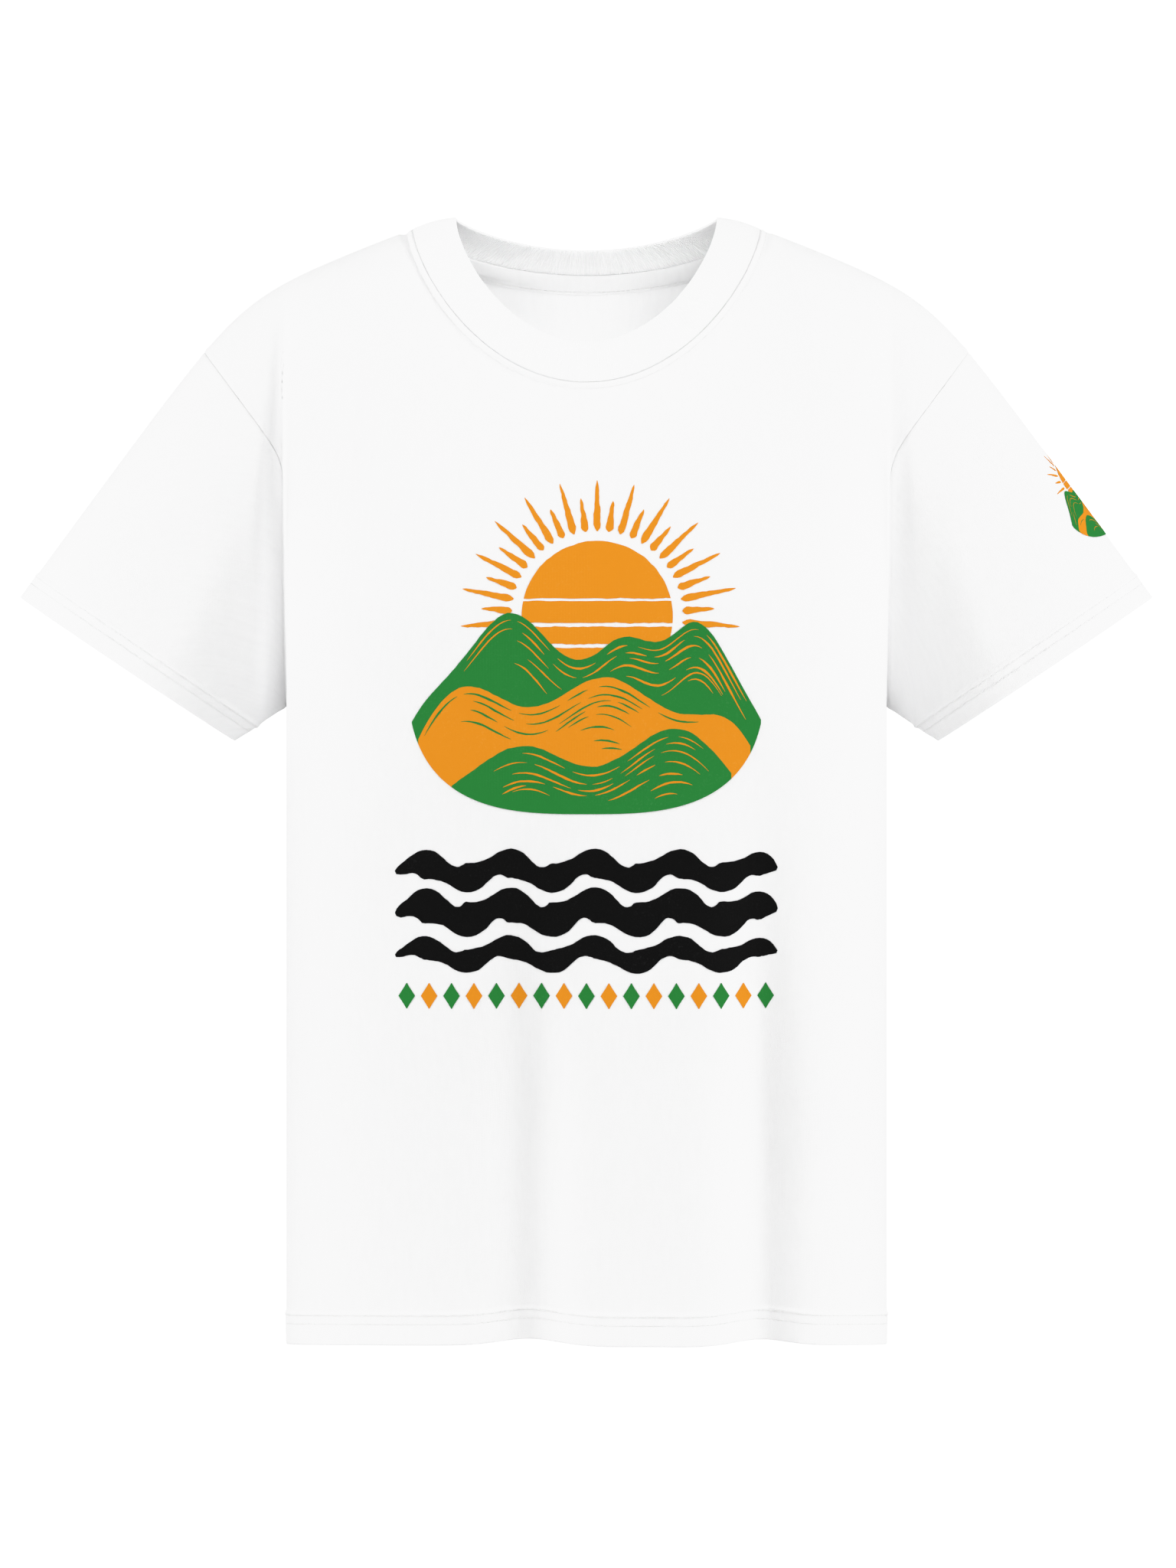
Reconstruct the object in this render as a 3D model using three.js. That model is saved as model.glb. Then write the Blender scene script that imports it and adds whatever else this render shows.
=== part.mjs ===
// A short-sleeved crew-neck T-shirt, as it hangs on an unseen torso.
//
// Millimetres, +Z up. The front faces -Y and the wearer's left sleeve is on +X. The origin
// lies midway between the two high shoulder points, where the collar meets the neck.
//
// The shirt is worked out as one skin. Over every spot of its front view stands the depth of
// the cloth in front of, and behind, the plane through both shoulder seams. The skin is then
// cut into panels along the real seams, and each panel gets its thickness inwards.

import * as THREE from 'three';

// ---------------------------------------------------------------- driving dimensions

const CLOTH = 1.8; // thickness of the cloth solids
const RIB = 2.2; // thickness of the doubled neck rib
const TAPE = 0.8; // thickness of the neck tape
const TAPE_WIDTH = 11;
const TAPE_DROP = 0.8; // from the collar seam down to the tape
const SEAM_GAP = 0.3; // clear gap between two pieces at a seam
const ARMPIT_GAP = 0.7; // the same where the seams cross in the armpit
const ARMPIT_REACH = 20; // distance over which the wider gap there fades

const BODY_HALF_WIDTH = 191; // from the middle to a side seam
const HEM_LEVEL = -717; // hem edge at the side seams
const HEM_BAND = 19; // height of the bottom hem
const ARMPIT = new THREE.Vector2(BODY_HALF_WIDTH, -312); // x and z

const NECK_POINT = new THREE.Vector2(111, -7.5); // collar seam on the shoulder
const SHOULDER_SLOPE = 0.43; // fall of the shoulder line
const SHOULDER_FLATTENING = 60; // rounds the shoulder line off towards the middle
const SLEEVE_EXTRA_SLOPE = 0.937; // how much steeper the sleeve falls than the shoulder
const SHOULDER_BEND = 220; // x of the bend from shoulder to sleeve
const SHOULDER_BEND_SOFTNESS = 15.8;
const SHOULDER_TIP_X = 243.5; // armhole seam on top of the shoulder

const ARMHOLE_BEND_LEVEL = -156; // where the armhole turns from slanting to upright
const ARMHOLE_BEND_SOFTNESS = 6;

const SLEEVE_TIP_X = 360; // upper end of the sleeve hem
const SLEEVE_HEM_LOW = new THREE.Vector2(224, -333); // lower end of the sleeve hem
const SLEEVE_HEM_BAND = 17;
const SLEEVE_CAP_DEPTH = 56; // half depth of the sleeve at the shoulder
const SLEEVE_HEM_DEPTH = 42; // half depth of the sleeve at its hem
const SLEEVE_ROUNDNESS = 2.2;
const SLEEVE_ROOT = [60, 150]; // x where the sleeve's depth starts to count, and counts in full

// Torso and sleeve run into each other softly at the shoulder and sharply in the armpit.
const JOIN_LEVELS = [-60, -220];
const JOIN_SHARPNESS = [2.2, 7];
const CREASE_X = 192; // crease between body and sleeve
const CREASE_WIDTH = 13;
const CREASE_STARTS = [-60, -210]; // levels over which the crease deepens
const CREASE_ENDS = [-285, -345]; // levels over which it fades

const NECK_SEAM_ARCH = 0.7; // exponent of the neck's arch, where 0.5 is an ellipse
const NECK_EDGE_PLAN_ROUNDNESS = 2.2;
const NECK_EDGE_HALF_WIDTH = 84;
const COLLAR_BULGE = 1.3; // how far the rib arches between its seam and its edge
const CHEST_TOP = -20; // level from which the chest fills out

// Depths of the skin's two sides. The full depth is reached at chestLevel, and dome is
// how fast the shoulder rounds over. roundness is the exponent of the rounded section, where 2
// is an ellipse, and crease is the share of depth lost in the armpit crease.
const FRONT = {
  sign: -1, shoulderDepth: 66, chestDepth: 122, hemDepth: 116, chestLevel: -270, dome: 150,
  roundness: 2.9, crease: 0.45, neckSeamLow: -109, neckEdgeLow: -83, neckEdgeArch: 0.67,
  neckEdgeDepth: 68, hemRise: 7,
};
const BACK = {
  sign: 1, shoulderDepth: 66, chestDepth: 110, hemDepth: 102, chestLevel: -200, dome: 110,
  roundness: 2.3, crease: 0.5, neckSeamLow: -36, neckEdgeLow: -18, neckEdgeArch: 0.9,
  neckEdgeDepth: 46, hemRise: 5,
};

// Hanging folds: across is the x of a fold's middle, width its half width, height how far it
// stands proud at the hem, and from and to the levels where it starts and is full.
const FRONT_FOLDS = [
  { across: -36, width: 25, height: -19, from: -330, to: -600 },
  { across: 18, width: 34, height: 4, from: -330, to: -640 },
  { across: 66, width: 26, height: 4, from: -300, to: -640 },
  { across: 109, width: 22, height: -17, from: -300, to: -600 },
];
const BACK_FOLDS = [
  { across: -112, width: 34, height: 8, from: -330, to: -700 },
  { across: -40, width: 32, height: -9, from: -300, to: -700 },
  { across: 36, width: 34, height: 8, from: -320, to: -700 },
  { across: 108, width: 30, height: -8, from: -360, to: -700 },
];
const FOLD_LIMIT = 150; // x from which the folds fade towards the side seams
const HEM_DIP_ON_FOLDS = 0.16; // a fold that stands proud pulls the hem down by this share
const RISE_LEVEL = -520; // above it the lines across a panel start to follow the shoulders
const NECK_SPREAD = 38; // how much wider those lines pass round the neck further down
const NECK_SPREAD_FALL = 45; // drop over which most of that widening comes

// Steps of the grids
const SHOULDER_STEPS = 9;
const NECK_STEPS = 18;
const ACROSS_STEPS = 2 * SHOULDER_STEPS + NECK_STEPS;
const SIDE_STEPS = 13;
const ARMHOLE_STEPS = 12;
const SLEEVE_STEPS = 9;
const COLLAR_STEPS = 4;
const TAPE_STEPS = 3;
const TAPE_INSET_STEPS = 2; // steps of the neck, at each end, that the tape leaves free
const CURVE_DIVISIONS = 800; // for the lengths along a curve
const RIM_LEAN = 0.1; // counts a corner further out as higher, so that level rims split alike

// ---------------------------------------------------------------- small helpers

const { clamp, lerp, smoothstep } = THREE.MathUtils;

const softBend = (t, softness) => softness * Math.log1p(Math.exp(t / softness));

// Share of the way that a level z has come from the upper to the lower of two levels.
const fallShare = (z, [upper, lower]) => smoothstep(-z, -upper, -lower);

// Quarter of a superellipse: 1 at 0 and 0 at 1.
const roundOff = (t, roundness) => (1 - Math.min(Math.abs(t), 1) ** roundness) ** (1 / roundness);

// An arch over -1 to 1: 1 in the middle and 0 at the ends.
const archOver = (t, exponent) => (1 - Math.min(t * t, 1)) ** exponent;

class SkinCurve extends THREE.Curve {
  constructor(place) {
    super();
    this.place = place;
    this.arcLengthDivisions = CURVE_DIVISIONS;
  }

  getPoint(t) {
    return this.place(t);
  }
}

// ---------------------------------------------------------------- the outline from the front

// Height of the shoulder and of the sleeve's upper edge.
function topLine(x) {
  const across = Math.hypot(x, SHOULDER_FLATTENING) - Math.hypot(NECK_POINT.x, SHOULDER_FLATTENING);
  const bend = softBend(Math.abs(x) - SHOULDER_BEND, SHOULDER_BEND_SOFTNESS);
  return NECK_POINT.y - SHOULDER_SLOPE * across - SLEEVE_EXTRA_SLOPE * bend;
}

const SHOULDER_TIP = new THREE.Vector2(SHOULDER_TIP_X, topLine(SHOULDER_TIP_X));
const SLEEVE_TIP = new THREE.Vector2(SLEEVE_TIP_X, topLine(SLEEVE_TIP_X));
const SLEEVE_ALONG = SLEEVE_TIP.clone().sub(SHOULDER_TIP).normalize();
const UNDER_EDGE = SLEEVE_HEM_LOW.clone().sub(ARMPIT).normalize();
const UNDER_NORMAL = new THREE.Vector2(-UNDER_EDGE.y, UNDER_EDGE.x);

// x of the armhole seam: upright above the armpit, then slanting out to the shoulder tip.
function armholeX(z) {
  const bend = softBend(z - ARMHOLE_BEND_LEVEL, ARMHOLE_BEND_SOFTNESS);
  const bendAtTip = softBend(SHOULDER_TIP.y - ARMHOLE_BEND_LEVEL, ARMHOLE_BEND_SOFTNESS);
  return lerp(ARMPIT.x, SHOULDER_TIP.x, bend / bendAtTip);
}

function neckSeamZ(side, x) {
  const drop = archOver(x / NECK_POINT.x, NECK_SEAM_ARCH);
  return lerp(NECK_POINT.y, side.neckSeamLow, drop);
}

// ---------------------------------------------------------------- the depth of the skin

function torsoDepth(side, x, z) {
  const filled = fallShare(z, [CHEST_TOP, side.chestLevel]);
  const chest = lerp(side.shoulderDepth, side.chestDepth, filled);
  const belowChest = fallShare(z, [side.chestLevel, HEM_LEVEL]);
  const slimming = (side.chestDepth - side.hemDepth) * belowChest;
  const overShoulder = roundOff(1 - clamp((topLine(x) - z) / side.dome, 0, 1), 2);
  return (chest - slimming) * overShoulder * roundOff(x / BODY_HALF_WIDTH, side.roundness);
}

function sleeveDepth(x, z) {
  const outward = Math.abs(x);
  const slope = (topLine(outward + 1) - topLine(outward - 1)) / 2;
  const belowTop = (topLine(outward) - z) / Math.hypot(1, slope);
  const offArmpit = new THREE.Vector2(outward, z).sub(ARMPIT);
  const aboveUnder = offArmpit.dot(UNDER_NORMAL);
  const share = clamp(belowTop / Math.max(belowTop + aboveUnder, 1), 0, 1);
  const along = new THREE.Vector2(outward, z).sub(SHOULDER_TIP).dot(SLEEVE_ALONG);
  const sleeveLength = SLEEVE_TIP.distanceTo(SHOULDER_TIP);
  const depth = lerp(SLEEVE_CAP_DEPTH, SLEEVE_HEM_DEPTH, clamp(along / sleeveLength, 0, 1));
  return depth * roundOff(2 * share - 1, SLEEVE_ROUNDNESS) * smoothstep(outward, ...SLEEVE_ROOT);
}

function foldDepth(side, x, z) {
  const folds = side === FRONT ? FRONT_FOLDS : BACK_FOLDS;
  const towardsSeams = 1 - smoothstep(Math.abs(x), FOLD_LIMIT, BODY_HALF_WIDTH);
  let depth = 0;
  for (const fold of folds) {
    const growth = fallShare(z, [fold.from, fold.to]);
    depth += fold.height * growth * Math.exp(-(((x - fold.across) / fold.width) ** 2));
  }
  return depth * towardsSeams;
}

function skinDepth(side, x, z) {
  const sharpness = lerp(...JOIN_SHARPNESS, fallShare(z, JOIN_LEVELS));
  const torso = torsoDepth(side, x, z);
  const sleeve = sleeveDepth(x, z);
  const joined = (torso ** sharpness + sleeve ** sharpness) ** (1 / sharpness);
  const creaseLevel = fallShare(z, CREASE_STARTS) * (1 - fallShare(z, CREASE_ENDS));
  const creaseAcross = Math.exp(-(((Math.abs(x) - CREASE_X) / CREASE_WIDTH) ** 2));
  return joined * (1 - side.crease * creaseLevel * creaseAcross) + foldDepth(side, x, z);
}

function onSkin(side, x, z) {
  return new THREE.Vector3(x, side.sign * Math.max(skinDepth(side, x, z), 0), z);
}

const mirrorPoint = (point) => new THREE.Vector3(-point.x, point.y, point.z);

// ---------------------------------------------------------------- seam lines on the skin

// Armhole of the +X side, from the armpit up to the shoulder tip.
function armholeSeam(side) {
  return new SkinCurve((t) => {
    const z = lerp(ARMPIT.y, SHOULDER_TIP.y, t);
    const end = t === 0 || t === 1;
    const point = onSkin(side, armholeX(z), z);
    return end ? point.setY(0) : point;
  });
}

// Lines across a body panel run from edge to edge. The upper ones rise and dip as the
// shoulders and the neck do, round a neck that widens downwards, and the lowest follow the hem.
function topShape(side, x, edge) {
  const drop = SHOULDER_TIP.y - edge.y;
  const neck = NECK_POINT.x + NECK_SPREAD * (1 - Math.exp(-drop / NECK_SPREAD_FALL));
  const outward = Math.abs(x);
  if (outward < neck) return neckSeamZ(side, (outward / neck) * NECK_POINT.x);
  return topLine(lerp(NECK_POINT.x, SHOULDER_TIP.x, (outward - neck) / (edge.x - neck)));
}

function hemRise(side, x) {
  const across = roundOff(x / BODY_HALF_WIDTH, side.roundness);
  return side.hemRise * across - HEM_DIP_ON_FOLDS * foldDepth(side, x, HEM_LEVEL);
}

function lineAcross(side, edge) {
  const rise = smoothstep(edge.y, RISE_LEVEL, SHOULDER_TIP.y);
  const atHem = 1 - smoothstep(edge.y, HEM_LEVEL + HEM_BAND, RISE_LEVEL);
  return new SkinCurve((t) => {
    const share = 2 * t - 1;
    const x = share * edge.x;
    const shape = topShape(side, x, edge) - SHOULDER_TIP.y;
    const z = edge.y + rise * shape + atHem * hemRise(side, x);
    const onSideSeam = (t === 0 || t === 1) && edge.y <= ARMPIT.y;
    const point = onSkin(side, x, z);
    return onSideSeam ? point.setY(0) : point;
  });
}

// Shoulder seam of the -X side, from the armhole to the collar.
const shoulderSeam = new SkinCurve((t) => {
  const x = -lerp(SHOULDER_TIP.x, NECK_POINT.x, t);
  return new THREE.Vector3(x, 0, topLine(x));
});

// Collar seam on one body panel, from -X to +X.
function neckSeam(side) {
  return new SkinCurve((t) => {
    const x = -NECK_POINT.x * Math.cos(Math.PI * t);
    const point = onSkin(side, x, neckSeamZ(side, x));
    return t === 0 || t === 1 ? point.setY(0) : point;
  });
}

// ---------------------------------------------------------------- grids of the panels

// Shares of a line's length at its steps. The nearer a line is to the top, the more its steps
// keep to the share of the shoulder in the top line.
function sharesAcross(shoulderShare, rise) {
  const shares = [];
  for (let step = 0; step <= ACROSS_STEPS; step += 1) {
    const mirrored = Math.min(step, ACROSS_STEPS - step);
    const onNeck = (mirrored - SHOULDER_STEPS) / (NECK_STEPS / 2);
    const top = mirrored <= SHOULDER_STEPS
      ? shoulderShare * (mirrored / SHOULDER_STEPS)
      : lerp(shoulderShare, 0.5, onNeck);
    const share = lerp(mirrored / ACROSS_STEPS, top, rise);
    shares.push(step <= ACROSS_STEPS / 2 ? share : 1 - share);
  }
  return shares;
}

function bodyGrid(side) {
  const seam = armholeSeam(side);
  const edges = [];
  for (let step = 0; step < SIDE_STEPS; step += 1) {
    const z = lerp(HEM_LEVEL + HEM_BAND, ARMPIT.y, step / SIDE_STEPS);
    edges.push(new THREE.Vector2(BODY_HALF_WIDTH, z));
  }
  for (let step = 0; step <= ARMHOLE_STEPS; step += 1) {
    const point = seam.getPointAt(step / ARMHOLE_STEPS);
    edges.push(new THREE.Vector2(point.x, point.z));
  }
  const shoulder = shoulderSeam.getSpacedPoints(SHOULDER_STEPS);
  const neck = neckSeam(side);
  const shoulderLength = shoulderSeam.getLength();
  const shoulderShare = shoulderLength / (2 * shoulderLength + neck.getLength());
  const rows = edges.slice(0, -1).map((edge) => {
    const curve = lineAcross(side, edge);
    const rise = smoothstep(edge.y, RISE_LEVEL, SHOULDER_TIP.y);
    return sharesAcross(shoulderShare, rise).map((share) => curve.getPointAt(share));
  });
  rows.push([
    ...shoulder,
    ...neck.getSpacedPoints(NECK_STEPS).slice(1, -1),
    ...shoulder.map(mirrorPoint).reverse(),
  ]);
  return rows;
}

// The sleeve of the +X side: rings from the armhole to the sleeve hem. Each ring runs over
// the front from the upper edge to the under edge, and back over the rear.
function sleeveRing(upper, under, bendShare) {
  const ring = [];
  for (const side of [FRONT, BACK]) {
    const seam = armholeSeam(side);
    const half = new SkinCurve((t) => {
      const onSeam = seam.getPoint(1 - t);
      const bend = new THREE.Vector2(onSeam.x, onSeam.z)
        .sub(SHOULDER_TIP.clone().lerp(ARMPIT, t))
        .multiplyScalar(bendShare);
      const place = upper.clone().lerp(under, t).add(bend);
      const point = onSkin(side, place.x, place.y);
      return t === 0 || t === 1 ? point.setY(0) : point;
    });
    const points = bendShare === 1
      ? seam.getSpacedPoints(ARMHOLE_STEPS).reverse()
      : half.getSpacedPoints(ARMHOLE_STEPS);
    if (side === BACK) points.reverse();
    ring.push(...points.slice(0, ARMHOLE_STEPS));
  }
  return ring;
}

function sleeveGrid(fromShare, toShare, steps) {
  const bandOnUnder = SLEEVE_HEM_BAND / UNDER_EDGE.dot(SLEEVE_ALONG);
  const upperLength = SLEEVE_TIP.distanceTo(SHOULDER_TIP);
  const underLength = SLEEVE_HEM_LOW.distanceTo(ARMPIT);
  const rings = [];
  for (let step = 0; step <= steps; step += 1) {
    const share = lerp(fromShare, toShare, step / steps);
    const inBand = Math.max(share - 1, 0);
    const upperShare = Math.min(share, 1) * (1 - SLEEVE_HEM_BAND / upperLength)
      + inBand * (SLEEVE_HEM_BAND / upperLength);
    const underShare = Math.min(share, 1) * (1 - bandOnUnder / underLength)
      + inBand * (bandOnUnder / underLength);
    const upperX = lerp(SHOULDER_TIP.x, SLEEVE_TIP.x, upperShare);
    const upper = new THREE.Vector2(upperX, topLine(upperX));
    const under = ARMPIT.clone().lerp(SLEEVE_HEM_LOW, underShare);
    rings.push(sleeveRing(upper, under, Math.max(1 - share, 0)));
  }
  return rings;
}

// Bottom hem: a ring below both body panels, front from -X to +X and back again.
function hemGrid(frontBody, backBody) {
  const seamRow = [...frontBody[0].slice(0, -1), ...backBody[0].slice(1).reverse()];
  const edgeRow = seamRow.map((point, column) => {
    const side = column < ACROSS_STEPS ? FRONT : BACK;
    const z = point.z - HEM_BAND;
    const onSeam = column % ACROSS_STEPS === 0;
    return onSeam ? new THREE.Vector3(point.x, 0, z) : onSkin(side, point.x, z);
  });
  return [edgeRow, seamRow];
}

// Neck rib: a ring from the collar seam to the neck edge, arched a little in between.
function collarGrid(frontBody, backBody) {
  const firstNeck = SHOULDER_STEPS;
  const lastNeck = SHOULDER_STEPS + NECK_STEPS;
  const frontSeam = frontBody[frontBody.length - 1].slice(firstNeck, lastNeck);
  const backSeam = backBody[backBody.length - 1].slice(firstNeck + 1, lastNeck + 1).reverse();
  const seam = [...frontSeam, ...backSeam];
  const edge = [];
  for (const side of [FRONT, BACK]) {
    const half = new SkinCurve((t) => {
      const share = -Math.cos(Math.PI * t);
      const depth = side.neckEdgeDepth * roundOff(share, NECK_EDGE_PLAN_ROUNDNESS);
      const z = side.neckEdgeLow * archOver(share, side.neckEdgeArch);
      return new THREE.Vector3(share * NECK_EDGE_HALF_WIDTH, side.sign * depth, z);
    });
    const points = half.getSpacedPoints(NECK_STEPS);
    if (side === BACK) points.reverse();
    edge.push(...points.slice(0, NECK_STEPS));
  }
  const rows = [];
  for (let step = 0; step <= COLLAR_STEPS; step += 1) {
    const share = step / COLLAR_STEPS;
    rows.push(seam.map((start, column) => {
      const end = edge[column];
      const along = seam[(column + 1) % seam.length].clone()
        .sub(seam[(column + seam.length - 1) % seam.length]);
      const outward = along.cross(end.clone().sub(start)).normalize();
      return start.clone().lerp(end, share)
        .addScaledVector(outward, COLLAR_BULGE * Math.sin(Math.PI * share));
    }));
  }
  return rows;
}

// ---------------------------------------------------------------- from grids to solids

const placeKey = (point) => point.toArray().map((value) => value.toFixed(2)).join(' ');

// Adds the facing of every grid cell to its corners, so that panels which share a seam
// agree on the direction in which they get their thickness.
function addFacings(facings, grid, wraps) {
  const columns = grid[0].length;
  const lastColumn = wraps ? columns : columns - 1;
  for (let row = 0; row + 1 < grid.length; row += 1) {
    for (let column = 0; column < lastColumn; column += 1) {
      const next = (column + 1) % columns;
      const [lower, upper] = [grid[row], grid[row + 1]];
      const corners = [lower[column], lower[next], upper[next], upper[column]];
      const diagonalA = corners[2].clone().sub(corners[0]);
      const diagonalB = corners[3].clone().sub(corners[1]);
      const facing = diagonalA.cross(diagonalB);
      for (const corner of corners) {
        const key = placeKey(corner);
        facings.set(key, (facings.get(key) ?? new THREE.Vector3()).add(facing));
      }
    }
  }
}

// The same grid on the other side of the shirt, with its columns turned round so that its
// cells still face outwards.
const mirrorGrid = (grid) => grid.map((row) => row.map(mirrorPoint).reverse());

function seamGap(point) {
  const offArmpit = Math.hypot(Math.abs(point.x) - ARMPIT.x, point.y, point.z - ARMPIT.y);
  return lerp(SEAM_GAP, ARMPIT_GAP, Math.exp(-((offArmpit / ARMPIT_REACH) ** 2)));
}

// Pulls the rim of a grid in by half a seam gap, square to the seam, except along its free
// first or last row.
function pulledIn(grid, wraps, freeRows) {
  const lastRow = grid.length - 1;
  const columns = grid[0].length;
  const pull = (point, inner, before, after) => {
    const along = after.clone().sub(before).normalize();
    const inward = inner.clone().sub(point);
    return inward.addScaledVector(along, -inward.dot(along)).setLength(seamGap(point) / 2);
  };
  return grid.map((row, r) => row.map((point, c) => {
    const moved = point.clone();
    const left = wraps ? row[(c + columns - 1) % columns] : row[Math.max(c - 1, 0)];
    const right = wraps ? row[(c + 1) % columns] : row[Math.min(c + 1, columns - 1)];
    const below = grid[Math.max(r - 1, 0)][c];
    const above = grid[Math.min(r + 1, lastRow)][c];
    if (r === 0 && !freeRows.includes('first')) moved.add(pull(point, above, left, right));
    if (r === lastRow && !freeRows.includes('last')) moved.add(pull(point, below, left, right));
    if (!wraps && c === 0) moved.add(pull(point, right, below, above));
    if (!wraps && c === columns - 1) moved.add(pull(point, left, below, above));
    return moved;
  }));
}

function shellGeometry(outer, inner, wraps) {
  const rows = outer.length;
  const columns = outer[0].length;
  const points = [...outer.flat(), ...inner.flat()];
  const at = (row, column) => row * columns + (column % columns);
  const index = [];
  const quad = (a, b, c, d) => index.push(a, b, c, a, c, d);
  // A strip of the rim between two neighbouring corners, named by their places in the outer
  // skin. It is split from its lower outer corner, as the facing rim of the next panel is.
  const height = (corner) => points[corner].z + RIM_LEAN * Math.abs(points[corner].x);
  const rim = (first, second) => {
    const [a, b] = [first + rows * columns, second + rows * columns];
    if (height(first) < height(second)) quad(first, a, b, second);
    else quad(a, b, second, first);
  };
  // A cell of the skins is split along the shorter diagonal of its outer side.
  const cell = (a, b, c, d) => {
    const short = points[a].distanceTo(points[c]) < points[b].distanceTo(points[d]);
    const corners = short ? [a, b, c, d] : [b, c, d, a];
    quad(...corners);
    const [e, f, g, h] = corners.map((corner) => corner + rows * columns);
    quad(e, h, g, f);
  };
  const lastColumn = wraps ? columns : columns - 1;
  for (let row = 0; row + 1 < rows; row += 1) {
    for (let column = 0; column < lastColumn; column += 1) {
      const next = column + 1;
      cell(at(row, column), at(row, next), at(row + 1, next), at(row + 1, column));
    }
  }
  for (let column = 0; column < lastColumn; column += 1) {
    rim(at(0, column), at(0, column + 1));
    rim(at(rows - 1, column + 1), at(rows - 1, column));
  }
  for (let row = 0; !wraps && row + 1 < rows; row += 1) {
    rim(at(row + 1, 0), at(row, 0));
    rim(at(row, columns - 1), at(row + 1, columns - 1));
  }
  const positions = points.flatMap((point) => point.toArray());
  const geometry = new THREE.BufferGeometry();
  geometry.setAttribute('position', new THREE.Float32BufferAttribute(positions, 3));
  geometry.setIndex(index);
  geometry.computeVertexNormals();
  return geometry;
}

// ---------------------------------------------------------------- the shirt

const jersey = { color: 0xf5f5f3, roughness: 0.92, metalness: 0 };
const rib = { color: 0xf3f3f1, roughness: 0.95, metalness: 0 };
const tape = { color: 0xf0f0ee, roughness: 0.9, metalness: 0 };

const frontBody = bodyGrid(FRONT);
const backBody = bodyGrid(BACK);
const backFacingOut = backBody.map((row) => [...row].reverse());
const leftSleeve = sleeveGrid(0, 1, SLEEVE_STEPS);
const leftSleeveHem = sleeveGrid(1, 2, 1);
const bottomHem = hemGrid(frontBody, backBody);
const neckRib = collarGrid(frontBody, backBody);

// Every panel's grid, whether it closes round into a ring, and the rows that end in the open.
const PANELS = [
  { name: 'front_body', grid: frontBody },
  { name: 'back_body', grid: backFacingOut },
  { name: 'left_sleeve', grid: leftSleeve, wraps: true },
  { name: 'right_sleeve', grid: mirrorGrid(leftSleeve), wraps: true },
  { name: 'left_sleeve_hem', grid: leftSleeveHem, wraps: true, freeRows: ['last'] },
  { name: 'right_sleeve_hem', grid: mirrorGrid(leftSleeveHem), wraps: true, freeRows: ['last'] },
  { name: 'bottom_hem', grid: bottomHem, wraps: true, freeRows: ['first'] },
  { name: 'neck_rib', grid: neckRib, finish: rib, thickness: RIB, wraps: true, freeRows: ['last'] },
];

const facings = new Map();
for (const panel of PANELS) addFacings(facings, panel.grid, panel.wraps);

// In the armpit the cloth faces halfway between the body's side and the sleeve's underside.
for (const hand of [-1, 1]) {
  const armpit = new THREE.Vector3(hand * ARMPIT.x, 0, ARMPIT.y);
  const facing = new THREE.Vector3(hand * (1 - UNDER_NORMAL.x), 0, -UNDER_NORMAL.y);
  facings.set(placeKey(armpit), facing);
}

function inwards(grid, rim, distance) {
  return grid.map((row, r) => row.map((point, c) => {
    const facing = facings.get(placeKey(point)).clone().normalize();
    return rim[r][c].clone().addScaledVector(facing, -distance);
  }));
}

function panelMesh(panel) {
  const { name, grid, finish = jersey, thickness = CLOTH, wraps = false, freeRows = [] } = panel;
  const outer = pulledIn(grid, wraps, freeRows);
  const mesh = new THREE.Mesh(
    shellGeometry(outer, inwards(grid, outer, thickness), wraps),
    new THREE.MeshStandardMaterial(finish),
  );
  mesh.name = name;
  return mesh;
}

// Neck tape: a strip inside the back panel that covers the collar seam from near one
// shoulder to near the other.
function neckTapeMesh() {
  const firstColumn = SHOULDER_STEPS + TAPE_INSET_STEPS;
  const lastColumn = SHOULDER_STEPS + NECK_STEPS - TAPE_INSET_STEPS;
  // The spot this far below the collar seam on one column of the back panel.
  const spotBelow = (column, distance) => {
    let row = backFacingOut.length - 1;
    let left = distance;
    let step = backFacingOut[row][column].distanceTo(backFacingOut[row - 1][column]);
    while (left > step) {
      left -= step;
      row -= 1;
      step = backFacingOut[row][column].distanceTo(backFacingOut[row - 1][column]);
    }
    const [upper, lower] = [backFacingOut[row][column], backFacingOut[row - 1][column]];
    const facing = facings.get(placeKey(upper)).clone().normalize()
      .lerp(facings.get(placeKey(lower)).clone().normalize(), left / step);
    return { place: upper.clone().lerp(lower, left / step), facing: facing.normalize() };
  };
  const rows = [];
  for (let step = 0; step <= TAPE_STEPS; step += 1) {
    const below = TAPE_DROP + TAPE_WIDTH * (1 - step / TAPE_STEPS);
    const row = [];
    for (let column = firstColumn; column <= lastColumn; column += 1) {
      row.push(spotBelow(column, below));
    }
    rows.push(row);
  }
  const skin = (depth) => rows.map((row) => row.map(
    ({ place, facing }) => place.clone().addScaledVector(facing, -depth),
  ));
  const clearDepth = CLOTH + SEAM_GAP;
  const mesh = new THREE.Mesh(
    shellGeometry(skin(clearDepth), skin(clearDepth + TAPE), false),
    new THREE.MeshStandardMaterial(tape),
  );
  mesh.name = 'neck_tape';
  return mesh;
}

const shirt = new THREE.Group();
shirt.add(...PANELS.map(panelMesh), neckTapeMesh());

export default shirt;
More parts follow.
